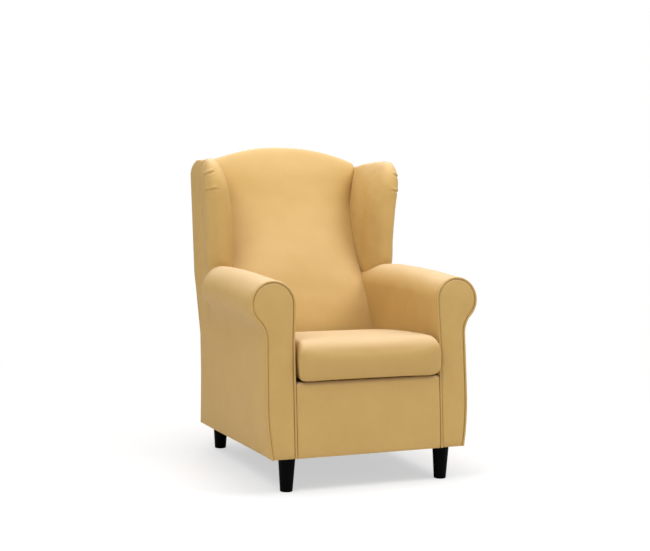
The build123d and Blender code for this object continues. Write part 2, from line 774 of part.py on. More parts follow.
def seat_rail():
    """Seat-height rail along a side, from the arm board to the post."""
    x0, x1, z0, z1 = SEAT_RAIL
    return block(x0, x1, DECK_FRONT_Y + 2 * ROOM, REAR_Y - POST_FRONT, z0, z1)


def seat_rail_rear():
    """Cross rail that carries the rear ends of the springs."""
    x0, _, z0, z1 = SEAT_RAIL
    return block(-x0, x0, *SEAT_RAIL_REAR_Y, z0, z1)


def dust_cover():
    """Thin cloth that closes the underside, pierced for the leg bolts."""
    side = WAIST_X - FOOT_DRAW_IN - COVER - GAP
    rear = REAR_Y - COVER - GAP
    front = FRONT_Y + BORDER_FOAM + ROOM
    rear_side = side - TAPER * (rear - FRONT_Y) - ROOM
    plan = outline_face([(-side, front), (side, front), (rear_side, rear), (-rear_side, rear)])
    sheet = extrude(plan, amount=2 * BASE_FRONT_Z)
    sheet = below_base(above_base(sheet, GAP), FRAME_LIFT - GAP)
    for x, y in leg_places():
        sheet -= Pos(x, y, 0) * Cylinder(BOLT_RADIUS + BOLT_ROOM, FAR)
    return sheet


# Legs and fixings
def leg_places():
    """The four leg centres, front pair first, left before right."""
    return [(side * x, y) for x, y in (LEG_FRONT, LEG_REAR) for side in (-1, 1)]


def leg(x, y):
    """Round leg, tapering to its foot, drilled for its bolt."""
    height = BASE_FRONT_Z + PAST
    slope = (LEG_TOP_RADIUS - LEG_FOOT_RADIUS) / BASE_FRONT_Z
    cone = Cone(LEG_FOOT_RADIUS, LEG_FOOT_RADIUS + slope * height, height)
    cone = Pos(x, y, height / 2) * cone
    cone = fillet(cone.edges().sort_by(Axis.Z)[0], LEG_FOOT_ROUND)
    hole_bottom = base_z(y) - BOLT_DEPTH - BOLT_ROOM
    hole = Pos(x, y, hole_bottom + FAR / 2) * Cylinder(BOLT_RADIUS + BOLT_ROOM, FAR)
    return below_base(cone - hole, 0.0)


def block_at(y):
    """Limits of the corner block over a leg, on the right-hand side."""
    return BLOCK_FRONT if y < 0 else BLOCK_REAR


def corner_block(x, y):
    """Glued block in a corner of the frame, bored for bolt and nut."""
    x0, x1, y0, y1, top = block_at(y)
    solid = above_base(block(x0, x1, y0, y1, 0, top), FRAME_LIFT)
    radius, depth = NUT_BARREL
    solid -= Pos(abs(x), y, 0) * Cylinder(BOLT_RADIUS + BOLT_ROOM, FAR)
    solid -= Pos(abs(x), y, top) * Cylinder(radius + NUT_ROOM, 2 * (depth + NUT_ROOM))
    return solid if x > 0 else mirrored(solid)


def hanger_bolt(x, y):
    """Threaded rod from the leg up through its block."""
    low = base_z(y) - BOLT_DEPTH
    high = block_at(y)[4] + NUT_FLANGE[1]
    return Pos(x, y, (low + high) / 2) * Cylinder(BOLT_RADIUS, high - low)


def tee_nut(x, y):
    """Flanged nut in the top of a block."""
    top = block_at(y)[4]
    radius, depth = NUT_BARREL
    flange, thick = NUT_FLANGE
    nut = Pos(x, y, top - depth / 2) * Cylinder(radius, depth)
    nut += Pos(x, y, top + thick / 2) * Cylinder(flange, thick)
    return nut - Pos(x, y, top) * Cylinder(BOLT_RADIUS + NUT_ROOM, FAR)


# Every piece by its name
DECK = (-DECK_HALF, DECK_HALF, DECK_FRONT_Y, DECK_REAR_Y)
DECK_JOIN = DECK_TOP - DECK_COVER
LINING_REAR = LINING_FRONT + GAP
PAIRS = {
    "side_rail": side_rail(),
    "seat_rail": seat_rail(),
    "back_post": back_post(),
    "arm_front_board": arm_front_board(),
    "arm_top_rail": arm_rail_box(),
    "wing_panel": wing_panel(),
    "arm_outer_lining": outside_arm(COVER, LINING, ARM_FILL_FRONT, LINING_REAR, FRAME_LIFT),
    "arm_roll_foam": arm_roll_foam(),
    "arm_inner_foam": arm_inner_foam(),
    "wing_foam": wing_foam(),
    "arm_cover": arm_cover(),
    "outside_arm_cover": outside_arm(0.0, COVER, FACING, COVER + GAP, 0.0),
    "arm_facing": arm_facing(),
    "arm_piping": arm_piping(),
    "wing_cover": wing_cover(),
    "outside_wing_cover": outside_wing_cover(),
}
PIECES = {
    "front_board": front_board(),
    "rear_rail": rear_rail(),
    "seat_rail_rear": seat_rail_rear(),
    "back_top_rail": back_top_rail(),
    "back_lumbar_rail": back_lumbar_rail(),
    "back_lining": rear_sheet(BACK_LINING_INSET, COVER + GAP, LINING_FRONT, FRAME_LIFT),
    "deck_foam": block(*DECK, DECK_FOAM_BOTTOM, DECK_JOIN),
    "deck_cover": block(*DECK, DECK_JOIN, DECK_TOP),
    "border_foam": border_foam(),
    "border_cover": border_cover(),
    "back_foam": back_foam(),
    "inside_back_cover": inside_back_cover(),
    "outside_back_cover": rear_sheet(0.0, 0.0, COVER, 0.0),
    "dust_cover": dust_cover(),
    "cushion_core": cushion_body(COVER),
    "cushion_cover": cushion_body(0.0) - cushion_body(COVER),
    "cushion_zip": cushion_zip(),
    "zip_slider": zip_slider(),
    "seat_springs": Compound(children=[zigzag_spring(x) for x in SPRING_X]),
    "spring_clips": Compound(children=spring_clips()),
    "back_webbing": Compound(children=back_webbing()),
    "corner_blocks": Compound(children=[corner_block(*place) for place in leg_places()]),
    "hanger_bolts": Compound(children=[hanger_bolt(*place) for place in leg_places()]),
    "tee_nuts": Compound(children=[tee_nut(*place) for place in leg_places()]),
}
for name, solid in PAIRS.items():
    PIECES[name + "_right"] = solid
    PIECES[name + "_left"] = mirrored(solid)
LEG_NAMES = ("leg_front_left", "leg_front_right", "leg_rear_left", "leg_rear_right")
for name, place in zip(LEG_NAMES, leg_places()):
    PIECES[name] = leg(*place)

os.makedirs("parts", exist_ok=True)
for name, solid in PIECES.items():
    export_step(solid, f"parts/{name}.step")
print(len(PIECES), "pieces written")
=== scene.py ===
# %% [markdown]
# # A wing-back armchair, dressed
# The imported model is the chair's frame: its boards, springs, foams and covers at their real size. This
# lesson puts the upholstery over it. Everything is in metres, +Z is up and the seat faces -Y, as in the
# frame.

# %% Load the frame and keep its box
from math import cos, pi, radians, sin, tan

import bmesh
import bpy
import numpy as np
from mathutils import Matrix, Vector


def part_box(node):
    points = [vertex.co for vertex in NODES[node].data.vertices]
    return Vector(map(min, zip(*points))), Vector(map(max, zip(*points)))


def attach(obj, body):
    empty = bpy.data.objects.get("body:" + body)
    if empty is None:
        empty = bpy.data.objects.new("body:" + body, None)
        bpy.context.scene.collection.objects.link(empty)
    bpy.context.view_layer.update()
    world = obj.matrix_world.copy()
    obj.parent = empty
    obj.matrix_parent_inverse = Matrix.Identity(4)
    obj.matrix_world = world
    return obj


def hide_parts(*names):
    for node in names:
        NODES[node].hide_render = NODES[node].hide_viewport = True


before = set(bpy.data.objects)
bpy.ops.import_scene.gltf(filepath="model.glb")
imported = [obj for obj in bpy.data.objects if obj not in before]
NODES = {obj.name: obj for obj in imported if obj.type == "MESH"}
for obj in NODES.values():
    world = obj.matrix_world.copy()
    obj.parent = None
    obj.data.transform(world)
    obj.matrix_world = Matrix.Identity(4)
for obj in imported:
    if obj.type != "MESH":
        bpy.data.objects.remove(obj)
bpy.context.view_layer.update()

# %% [markdown]
# ## The camera
# A product picture is taken with a long lens from a little above the seat, turned to show one side. The
# three directions of the camera were found by fitting the chair's corners to the picture. A camera looks
# along its own -Z, so the matrix below holds its right, up and backward directions as columns.

# %% Camera
CAMERA_PLACE = (-1.6367, -3.8452, 0.9512)
CAMERA_RIGHT = Vector((0.91966, -0.39234, 0.01711))
CAMERA_UP = Vector((0.01721, 0.08381, 0.99633))
FOCAL_PIXELS = 1302.9
IMAGE_WIDTH = 650
SENSOR = 36.0


def add_object(name, data):
    """A new object in the scene that holds the data."""
    made = bpy.data.objects.new(name, data)
    bpy.context.scene.collection.objects.link(made)
    return made


def make_camera():
    """A camera with its focal length turned from pixels into millimetres."""
    data = bpy.data.cameras.new("camera")
    data.sensor_fit = "HORIZONTAL"
    data.sensor_width = SENSOR
    data.lens = FOCAL_PIXELS * SENSOR / IMAGE_WIDTH
    camera = add_object("camera", data)
    back = CAMERA_RIGHT.cross(CAMERA_UP)
    turn = Matrix((CAMERA_RIGHT, CAMERA_UP, back)).transposed().to_4x4()
    camera.matrix_world = Matrix.Translation(CAMERA_PLACE) @ turn
    bpy.context.scene.camera = camera
    return camera


print("camera: lens", round(make_camera().data.lens, 2), "mm")

# %% [markdown]
# ## Shader maths as Python
# A material is a graph of nodes. Wiring it by hand hides the idea, so one small class wraps a socket and
# lets `+` and `*` build the Math nodes. Every other node comes from `Shade.node`, which takes the node's
# type, its settings and its inputs.

# %% The socket class


def put(value, socket):
    """Links a shade to a socket, or sets its value."""
    if isinstance(value, Shade):
        socket.id_data.links.new(value.socket, socket)
    else:
        socket.default_value = value


class Shade:
    """One output socket. An operator on it adds a Math node, and `node` adds any other node."""

    def __init__(self, node, output=0):
        self.node_made = node
        self.tree = node.id_data
        self.socket = node.outputs[output]

    @staticmethod
    def node(tree, kind, settings=None, inputs=None, output=0):
        """Adds a node, with its settings first and then its inputs."""
        node = tree.nodes.new("ShaderNode" + kind)
        for name, value in (settings or {}).items():
            setattr(node, name, value)
        for name, value in (inputs or {}).items():
            put(value, node.inputs[name])
        return Shade(node, output) if len(node.outputs) else node

    def math(self, operation, *values):
        """A Math node on plain values and shades."""
        return Shade.node(self.tree, "Math", {"operation": operation}, dict(enumerate(values)))

    def __add__(self, other):
        return self.math("ADD", self, other)

    def __mul__(self, other):
        return self.math("MULTIPLY", self, other)

    __radd__ = __add__
    __rmul__ = __mul__


# %% Material helpers


def new_finish(name):
    """An empty material, its place on the object and its surface shader."""
    material = bpy.data.materials.new(name)
    material.use_nodes = True
    tree = material.node_tree
    tree.nodes.clear()
    place = Shade.node(tree, "TexCoord", output="Object")
    surface = Shade.node(tree, "BsdfPrincipled")
    Shade.node(tree, "OutputMaterial", None, {"Surface": surface})
    return material, place, surface


def give(surface, **values):
    """Sets or links the shader's sockets: base_color is Base Color, and so on."""
    for name, value in values.items():
        put(value, surface.node_made.inputs[name.replace("_", " ").title().replace("Ior", "IOR")])


def mix_colour(factor, first, second):
    """A colour from first to second by a factor."""
    first, second = (part if isinstance(part, Shade) else (*part, 1.0) for part in (first, second))
    inputs = {0: factor, 6: first, 7: second}
    return Shade.node(factor.tree, "Mix", {"data_type": "RGBA"}, inputs, output=2)


def noise(place, scale, detail=2.0, roughness=0.5, stretch=None):
    """Soft random spots, scale per metre."""
    if stretch:
        place = Shade.node(place.tree, "Mapping", None, {"Vector": place, "Scale": stretch})
    inputs = {"Vector": place, "Scale": scale, "Detail": detail, "Roughness": roughness}
    return Shade.node(place.tree, "TexNoise", None, inputs)


def bump(height, distance, strength):
    """A Bump node from a height."""
    inputs = {"Height": height, "Distance": distance, "Strength": strength}
    return Shade.node(height.tree, "Bump", None, inputs)


# %% [markdown]
# ## The cloth
# The cover is a brushed microfibre: plain, matte and short-haired. Close up it has a fine woven grain,
# from a step away the nap makes soft lighter and darker patches, and at a glancing angle the hairs catch
# light. So colour and bump come from noise at three sizes, and the glancing light is the shader's sheen.
# The grain sits on Object coordinates, because a tight cover has no one direction on all its panels. Where
# the cloth faces up its colour is painted paler, a painted highlight for the light from above: each piece
# carries how far it faces up as an attribute of its points.

# %% Cloth finishes
# Each cloth: its middle, deep and pale colours, and the colour painted on upward faces as a highlight
CAMEL = ((0.520, 0.334, 0.115), (0.450, 0.283, 0.092), (0.580, 0.380, 0.140), (0.620, 0.450, 0.260))
CLOTH_COLOURS = {
    "camel_cloth": CAMEL,
    "camel_piping": CAMEL,
    "platform_cloth": ((0.45, 0.29, 0.12), (0.40, 0.25, 0.10), *[(0.50, 0.33, 0.14)] * 2),
    "dust_cloth": ((0.030, 0.029, 0.028), (0.022, 0.022, 0.022), *[(0.045, 0.044, 0.043)] * 2),
}
NAP_SIZE, GRAIN_SIZE, FUZZ_SIZE = 14.0, 900.0, 2600.0


def cloth_finish(name, middle, deep, pale, painted_highlight_colour):
    """Brushed cloth: broad lighter and darker patches of the pile, fine grain, finer fuzz, and a painted
    highlight, paler where it faces up.
    """
    material, place, surface = new_finish(name)
    nap_and_painted_highlight = noise(place, NAP_SIZE, detail=7.0, roughness=0.65)
    grain = noise(place, GRAIN_SIZE, detail=1.0, roughness=0.6)
    fuzz = noise(place, FUZZ_SIZE, detail=0.0)
    brushed = mix_colour(nap_and_painted_highlight, deep, pale)
    even = mix_colour(0.35 + 0.3 * grain, brushed, middle)
    # painted highlight: faces that look up take the paler colour, in place of light falling from above
    up = Shade.node(place.tree, "Attribute", {"attribute_name": "nap_and_painted_highlight"}, output="Fac")
    give(
        surface,
        base_color=mix_colour(up * up, even, painted_highlight_colour),
        roughness=0.48 + 0.2 * grain,
        normal=bump(0.7 * grain + 0.3 * fuzz, 0.0006, 0.55),
        specular_ior_level=0.12,
        sheen_weight=0.06,
        sheen_roughness=0.30,
        sheen_tint=(1.0, 0.95, 0.86, 1.0),
    )
    return material


CLOTH = {name: cloth_finish(name, *colours) for name, colours in CLOTH_COLOURS.items()}
print("cloth finishes:", ", ".join(CLOTH))

# %% [markdown]
# ## Lacquer, timber and steel
# The legs are turned wood under black satin lacquer: almost no colour, a thin clear coat and a faint
# waviness. The frame inside is sawn timber, so its rings are stretched noise along the grain. Wire and
# nuts are steel with fine brushed streaks. They hardly show, but a part that comes apart shows them all.

# %% Hard finishes


def lacquer_finish(name):
    """Black satin lacquer over turned wood, with brush waves along the leg."""
    material, place, surface = new_finish(name)
    waves = noise(place, 60.0, detail=3.0, stretch=(1.0, 1.0, 0.15))
    specks = noise(place, 700.0, detail=1.0)
    give(
        surface,
        base_color=mix_colour(waves, (0.0008, 0.0008, 0.0008), (0.002, 0.002, 0.002)),
        roughness=0.42 + 0.14 * waves,
        normal=bump(waves + 0.1 * specks, 0.0004, 0.3),
        specular_ior_level=0.03,
        coat_weight=0.01 * waves,
        coat_roughness=0.35,
    )
    return material


def timber_finish(name, light, dark, stretch):
    """Sawn wood: long stretched rings and short pores."""
    material, place, surface = new_finish(name)
    rings = noise(place, 46.0, detail=4.0, stretch=stretch)
    pores = noise(place, 420.0, detail=1.0, stretch=stretch)
    banded = rings.math("FRACT", rings * 5.0)
    give(
        surface,
        base_color=mix_colour(0.55 * banded + 0.35 * pores, light, dark),
        roughness=0.62 + 0.25 * pores,
        normal=bump(banded + 0.5 * pores, 0.0005, 0.35),
    )
    return material


def steel_finish(name, colour, dull, roughness):
    """Drawn steel: fine streaks and dull patches."""
    material, place, surface = new_finish(name)
    streaks = noise(place, 500.0, detail=2.0, stretch=(1.0, 0.1, 1.0))
    patches = noise(place, 30.0, detail=3.0)
    give(
        surface,
        base_color=mix_colour(patches, colour, dull),
        metallic=1.0,
        roughness=roughness + 0.2 * streaks,
        normal=bump(streaks, 0.0002, 0.3),
    )
    return material


def threads_along(place, axis, count):
    """Waves across one of the object's own axes, like threads side by side."""
    settings = {"wave_type": "BANDS", "bands_direction": axis}
    inputs = {"Vector": place, "Scale": count, "Distortion": 0.4}
    return Shade.node(place.tree, "TexWave", settings, inputs, output="Fac")


def webbing_finish(name, light, dark, count):
    """Woven strap: threads across and along."""
    material, place, surface = new_finish(name)
    weave = threads_along(place, "Z", count) * threads_along(place, "X", count)
    give(
        surface,
        base_color=mix_colour(weave, dark, light),
        roughness=0.7 + 0.2 * weave,
        normal=bump(weave, 0.0008, 0.6),
        sheen_weight=0.1,
    )
    return material


BEECH = ((0.62, 0.43, 0.25), (0.46, 0.29, 0.15))
LACQUER = lacquer_finish("black_lacquered_wood")
TIMBER_X = timber_finish("frame_timber_across", *BEECH, stretch=(0.06, 1.0, 1.0))
TIMBER_Y = timber_finish("frame_timber_along", *BEECH, stretch=(1.0, 0.06, 1.0))
TIMBER_Z = timber_finish("frame_timber_upright", *BEECH, stretch=(1.0, 1.0, 0.06))
FIBRE_BOARD = timber_finish("lining_board", (0.42, 0.32, 0.21), (0.30, 0.22, 0.14), stretch=(0.6, 0.6, 0.6))
SPRING_STEEL = steel_finish("spring_steel", (0.42, 0.42, 0.44), (0.22, 0.20, 0.19), roughness=0.28)
ZIP_METAL = steel_finish("zip_metal", (0.40, 0.29, 0.14), (0.30, 0.21, 0.10), roughness=0.32)
WEBBING = webbing_finish("elastic_webbing", (0.06, 0.055, 0.05), (0.015, 0.014, 0.013), count=180.0)
ZIP_TAPE = webbing_finish("zip_tape", (0.52, 0.34, 0.14), (0.34, 0.21, 0.08), count=260.0)
print("hard finishes:", len(bpy.data.materials), "materials in all")

# %% [markdown]
# ## Light and floor
# The picture is a plain studio one: even light from everywhere, a softbox on each side in front, one
# overhead, one behind, and white all round. Each wing keeps one side softbox off the back beside it, so
# the back is pale in the middle and deeper at its sides. The world is white to the camera and weaker as a
# light, so the background is white without flooding the chair. The floor keeps a light shadow.

# %% Studio
WORLD_LIGHT = 0.46
FLOOR_HALF = 30.0
FLOOR_NEAR, FLOOR_FAR = 0.9, 2.4
FLOOR_PALE = 0.55
AIM = Vector((0.0, 0.0, 0.5))
# Each lamp: where it is, its width and its power
LAMPS = {
    "left_softbox": ((-1.60, -1.10, 2.40), 1.2, 31.0),
    "right_softbox": ((1.50, -1.10, 2.40), 1.2, 34.0),
    "overhead_softbox": ((0.0, 0.15, 2.90), 1.0, 36.0),
    "rear_softbox": ((0.3, 2.80, 2.30), 1.6, 20.0),
}


def make_world():
    """White to the camera, a weaker white as light."""
    world = bpy.data.worlds.new("studio")
    bpy.context.scene.world = world
    world.use_nodes = True
    tree = world.node_tree
    tree.nodes.clear()
    seen = Shade.node(tree, "LightPath", output="Is Camera Ray")
    inputs = {"Color": (1.0, 1.0, 1.0, 1.0), "Strength": WORLD_LIGHT + (1.0 - WORLD_LIGHT) * seen}
    light = Shade.node(tree, "Background", None, inputs)
    Shade.node(tree, "OutputWorld", None, {"Surface": light})


def make_lamp(name, place, size, power):
    """A square soft light that faces the chair."""
    data = bpy.data.lights.new(name, "AREA")
    data.size = size
    data.energy = power
    lamp = add_object(name, data)
    lamp.location = place
    lamp.rotation_euler = (AIM - Vector(place)).to_track_quat("-Z", "Y").to_euler()


def make_floor():
    """A wide plane: lit and shadowed near the chair, plain white to the camera further off."""
    corners = [(x * FLOOR_HALF, y * FLOOR_HALF, 0) for x, y in ((-1, -1), (1, -1), (1, 1), (-1, 1))]
    mesh = bpy.data.meshes.new("floor")
    mesh.from_pydata(corners, [], [(0, 1, 2, 3)])
    material, place, surface = new_finish("pale_floor")
    tree = place.tree
    give(surface, base_color=(0.93, 0.93, 0.93, 1.0), roughness=0.9, specular_ior_level=0.1)
    distance = Shade.node(tree, "VectorMath", {"operation": "LENGTH"}, {0: place}, output="Value")
    inputs = {"Value": distance, "From Min": FLOOR_NEAR, "From Max": FLOOR_FAR}
    far = Shade.node(tree, "MapRange", {"interpolation_type": "SMOOTHSTEP"}, inputs)
    seen = Shade.node(tree, "LightPath", output="Is Camera Ray")
    white = Shade.node(tree, "Emission")
    pale = FLOOR_PALE + (1.0 - FLOOR_PALE) * far
    shown = Shade.node(tree, "MixShader", None, {"Fac": pale * seen, 1: surface, 2: white})
    put(shown, tree.nodes["Material Output"].inputs["Surface"])
    mesh.materials.append(material)
    add_object("floor", mesh)


make_world()
for name, lamp in LAMPS.items():
    make_lamp(name, *lamp)
make_floor()
bpy.context.scene.view_settings.view_transform = "Standard"
print("studio:", len(LAMPS), "lamps")

# %% [markdown]
# ## From arrays to pieces
# Nearly every cover here is a stack of closed rings: a cross-section, worked out as one array, carried
# along an arm, up a wing or across the back. A ring grid has the shape (rows, columns, 3). Its quads join
# each point to its neighbours, a flat face closes each end, and the whole array goes into the mesh at
# once.

# %% Steps, rounds and ripples
TINY = 1e-12
join = np.concatenate


def as_points(*coordinates):
    """Arrays of x, y and z, or of two of them, as one array of points."""
    return np.stack(np.broadcast_arrays(*coordinates), axis=-1)


def quarter(count):
    """Angles from 0 to a right angle."""
    return np.linspace(0, pi / 2, count)


def unit(vectors):
    """Vectors of length 1."""
    return vectors / np.maximum(np.linalg.norm(vectors, axis=-1, keepdims=True), TINY)


def soft_step(values, low, high):
    """0 below low, 1 above high, and a smooth S between them."""
    share = np.clip((values - low) / (high - low), 0.0, 1.0)
    return share * share * (3 - 2 * share)


def quarter_round(share):
    """A quarter circle that rises from 0 at share 0 to 1 at share 1, and stays there."""
    return np.sqrt(1 - (1 - np.clip(share, 0, 1)) ** 2)


def ripple(points, size, seed, count=12):
    """A smooth random field from -1 to 1: sine waves of about that size in seeded directions."""
    random = np.random.default_rng(seed)
    directions = unit(random.normal(size=(count, 3)))
    waves = directions * (2 * pi / size) * random.uniform(0.6, 1.5, size=(count, 1))
    phases = random.uniform(0, 2 * pi, size=count)
    return np.sin(points @ waves.T + phases).mean(axis=-1) * 2.0


def unevenness(points, waves):
    """Soft lumps of the padding: ripples added up, each with its height, size and seed."""
    return sum(height * ripple(points, size, seed) for height, size, seed in waves)


print("soft step and quarter round at a quarter:", soft_step(0.25, 0.0, 1.0), round(quarter_round(0.25), 4))

# %% Ring grids
SIDES = {"right": 1.0, "left": -1.0}
MERGE = 1e-6


def on_side(points, side):
    """Right-hand points on the named side."""
    return points * np.array([SIDES[side], 1.0, 1.0])


def ring_faces(rows, columns):
    """Quads between neighbouring rings, and one many-sided face over each end."""
    start = np.arange(rows - 1)[:, None] * columns
    here = np.arange(columns)[None, :]
    after = (here + 1) % columns
    quads = as_points(start + here, start + after, start + columns + after, start + columns + here)
    caps = [np.arange(columns).tolist(), (np.arange(columns) + (rows - 1) * columns).tolist()]
    return quads.reshape(-1, 4).tolist(), caps


def ring_normals(rings):
    """Outward unit normals of a ring grid."""
    along = np.gradient(rings, axis=0)
    around = (np.roll(rings, -1, axis=1) - np.roll(rings, 1, axis=1)) / 2
    normal = unit(np.cross(around, along))
    outward = rings - rings.mean(axis=1, keepdims=True)
    return normal if (normal * outward).sum() > 0 else -normal


def ring_piece(name, rings, slot):
    """A closed piece from a ring grid, smooth but for its flat ends."""
    quads, caps = ring_faces(*rings.shape[:2])
    mesh = bpy.data.meshes.new(name)
    mesh.from_pydata(rings.reshape(-1, 3).tolist(), [], quads + caps)
    smooth = np.ones(len(mesh.polygons), dtype=bool)
    smooth[-len(caps):] = False
    mesh.polygons.foreach_set("use_smooth", smooth)
    work = bmesh.new()
    work.from_mesh(mesh)
    bmesh.ops.remove_doubles(work, verts=work.verts, dist=MERGE)
    bmesh.ops.recalc_face_normals(work, faces=work.faces)
    work.to_mesh(mesh)
    work.free()
    mesh.materials.append(CLOTH[slot])
    return add_object(name, mesh)


# %% Pieces on their bodies


def mark_painted_highlight(piece):
    """Writes how far each point faces up, for the cloth's painted highlight on upward faces."""
    normals = np.empty(len(piece.data.vertices) * 3)
    piece.data.vertices.foreach_get("normal", normals)
    nap_and_painted_highlight = piece.data.attributes.new("nap_and_painted_highlight", "FLOAT", "POINT")
    nap_and_painted_highlight.data.foreach_set("value", np.clip(normals[2::3], 0.0, 1.0))


def dress(piece, body, nodes):
    """Puts a piece on its body, in place of the nodes that it stands for."""
    mark_painted_highlight(piece)
    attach(piece, body)
    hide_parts(*nodes)
    size = [round(v, 3) for v in piece.dimensions]
    print(f"{piece.name}: {len(piece.data.polygons)} faces, {size} m")


def cover(name, rings, nodes, slot="camel_cloth"):
    """Makes a piece from its rings and dresses the chair with it."""
    piece = ring_piece(name, rings, slot)
    dress(piece, "chair", nodes)
    return piece


def cover_sides(name, rings_of, nodes, slot="camel_cloth"):
    """A right and a left piece, each in place of its own side's nodes."""
    for side in SIDES:
        cover(f"{name}_{side}", rings_of(side), [f"{node}_{side}" for node in nodes], slot)


# %% [markdown]
# ## The arms
# Each arm is a scroll: up from the waist, out round a hollow neck, over a fat roll and straight down
# inside. The front leans back by a few degrees, so the outline is drawn on a leaning plane and carried
# along the arm. A point (x, up) on the plane lies at y = front + offset + up * sin(lean) and z = base + up
# * cos(lean).

# %% Arm sizes
FRONT_Y, REAR_Y = -0.3975, 0.3045
DEPTH = REAR_Y - FRONT_Y
BASE_Z, BASE_REAR_Z = 0.102, 0.083
BASE_FALL = (BASE_Z - BASE_REAR_Z) / DEPTH
LEAN = radians(5.4)
LEAN_OUT = np.array([0.0, -cos(LEAN), sin(LEAN)])
INNER_X = 0.235
INNER_BLEND = 0.13
ROLL_X, ROLL_UP, ROLL_RADIUS = 0.3005, 0.450, 0.0700
ROLL_SWELL, ROLL_RISE, ROLL_SETTLE = 0.001, 0.008, 0.004
WAIST_X = 0.327
BELLY, FOOT_TURN, FOOT_FROM = 0.0025, 0.0130, 0.55
REAR_DRAW, REAR_DRAW_AT = 0.0040, (0.10, DEPTH)
TAPER = 0.0195
ARM_LENGTH = 0.553
# Offsets between which the roll swells and shrinks again, rises and settles
SWELL_AT, SHRINK_AT = (0.0, 0.09), (0.40, ARM_LENGTH)
RISE_AT, SETTLE_AT = (0.0, 0.30), (0.35, ARM_LENGTH)
INSIDE_UP = 0.195
DIAGONAL = cos(pi / 4)
FACING = 0.007
TAIL_DROP, TAIL_SINK = 0.022, 0.0012
TAIL_COUNT, NECK_COUNT, ROLL_COUNT, INSIDE_COUNT = 8, 20, 64, 44


def on_lean(flat, offset):
    """Points (x, up) on the leaning plane at an offset behind the front, as (x, y, z)."""
    x, up = flat[..., 0], flat[..., 1]
    return as_points(x, FRONT_Y + offset + up * sin(LEAN), BASE_Z + up * cos(LEAN))


def base_z(y):
    """Height of the base's bottom edge, which falls a little towards the rear."""
    return BASE_Z - BASE_FALL * (y - FRONT_Y)


def scroll_parts(offset, inset):
    """The roll's radius and centre, which change along the arm, and the neck's waist and hollow."""
    swell = ROLL_SWELL * soft_step(offset, *SWELL_AT) * (1 - soft_step(offset, *SHRINK_AT))
    rise = ROLL_RISE * soft_step(offset, *RISE_AT) - ROLL_SETTLE * soft_step(offset, *SETTLE_AT)
    radius = ROLL_RADIUS + swell - inset
    roll_x = ROLL_X + swell
    roll_up = ROLL_UP + rise
    waist = WAIST_X - TAPER * np.maximum(offset, 0.0) - inset
    hollow = (roll_x + radius * DIAGONAL - waist) / (1 - DIAGONAL)
    neck_up = roll_up - (radius + hollow) * DIAGONAL
    return radius, roll_x, roll_up, waist, hollow, neck_up


def inside_x(up, roll_up, roll_inner, inset):
    """The inside face: from the roll's inner side back to the plane of the seat's side."""
    return roll_inner + (INNER_X + inset - roll_inner) * soft_step(roll_up - up, 0.0, INNER_BLEND)


def belly(share, offset):
    """Fullness of the outside arm from waist (0) to base (1), drawn in at the rear."""
    foot = np.clip((share - FOOT_FROM) / (1 - FOOT_FROM), 0, 1)
    full = BELLY * np.sin(0.8 * pi * share) - FOOT_TURN * foot**2
    rear = soft_step(offset, *REAR_DRAW_AT)
    return full * (1 - rear) - REAR_DRAW * soft_step(share, 0.0, 0.6) * rear


print("arm:", round(DEPTH, 3), "m deep, base edge from", BASE_Z, "down to", round(base_z(REAR_Y), 3), "m")

# %% The scroll


def scroll(offset, inset):
    """Outline (x, up): hidden tail, hollow neck, roll and inside face."""
    inset = inset[:, None]
    radius, roll_x, roll_up, waist, hollow, neck_up = scroll_parts(offset[:, None], inset)
    tail = np.linspace(1, 0, TAIL_COUNT, endpoint=False)
    neck = np.linspace(0, pi / 4, NECK_COUNT, endpoint=False)
    roll = np.linspace(-pi / 4, pi, ROLL_COUNT, endpoint=False)
    inside_up = roll_up + (INSIDE_UP - roll_up) * np.linspace(0, 1, INSIDE_COUNT)
    x = [
        waist - TAIL_SINK * tail**2,
        waist + hollow * (1 - np.cos(neck)),
        roll_x + radius * np.cos(roll),
        inside_x(inside_up, roll_up, roll_x - radius, inset),
    ]
    up = [
        neck_up - TAIL_DROP * tail,
        neck_up + hollow * np.sin(neck),
        roll_up + radius * np.sin(roll),
        inside_up,
    ]
    return as_points(join(x, axis=-1), join(up, axis=-1))


front_scroll = on_lean(scroll(np.zeros(1), np.zeros(1)), 0.0)
print("scroll: furthest x, y and z", front_scroll.max(axis=(0, 1)).round(4), "m")

# %% [markdown]
# The cover is drawn in behind the piping at the front and rounds over at the rear, where the wing and the
# outside panel meet it. Along the seam the tight cloth shows faint gathers, so a small wave runs round the
# front edge and dies out behind it.

# %% Arm covers
FRONT_TUCK = 0.006
REAR_ROUND, REAR_DEPTH = 0.070, 0.150
ARM_REAR = 0.615
NECK_SHARE = 0.68
FRONT_ROWS, ARM_ROWS, REAR_ROWS = 7, 70, 30
GATHER_DEPTH, GATHER_REACH = 0.00035, 0.016
GATHER_TURN, GATHER_WANDER = 0.9, 2.0
# Angles in degrees between which the rear round grows to its whole on the roll, and then ends
ROUND_GROWS, ROUND_ENDS = (-45, 10), (30, 150)
ARM_LUMPS = [(0.0011, 0.16, 11), (0.0005, 0.07, 12)]


def arm_rows():
    """Offsets and insets along the arm: front round, plain length, rear round."""
    turn = quarter(FRONT_ROWS)
    front = FACING + FRONT_TUCK * (1 - np.cos(turn))
    front_inset = FRONT_TUCK * (1 - np.sin(turn))
    end = quarter(REAR_ROWS)
    rear = ARM_LENGTH - REAR_DEPTH + REAR_DEPTH * np.sin(end)
    rear_inset = REAR_ROUND * (1 - np.cos(end))
    middle = np.linspace(front[-1], rear[0], ARM_ROWS)[1:-1]
    offsets = join([front, middle, rear])
    front_insets = join([front_inset, 0 * middle, 0 * rear])
    rear_insets = join([0 * front, 0 * middle, rear_inset])
    return offsets, front_insets, rear_insets


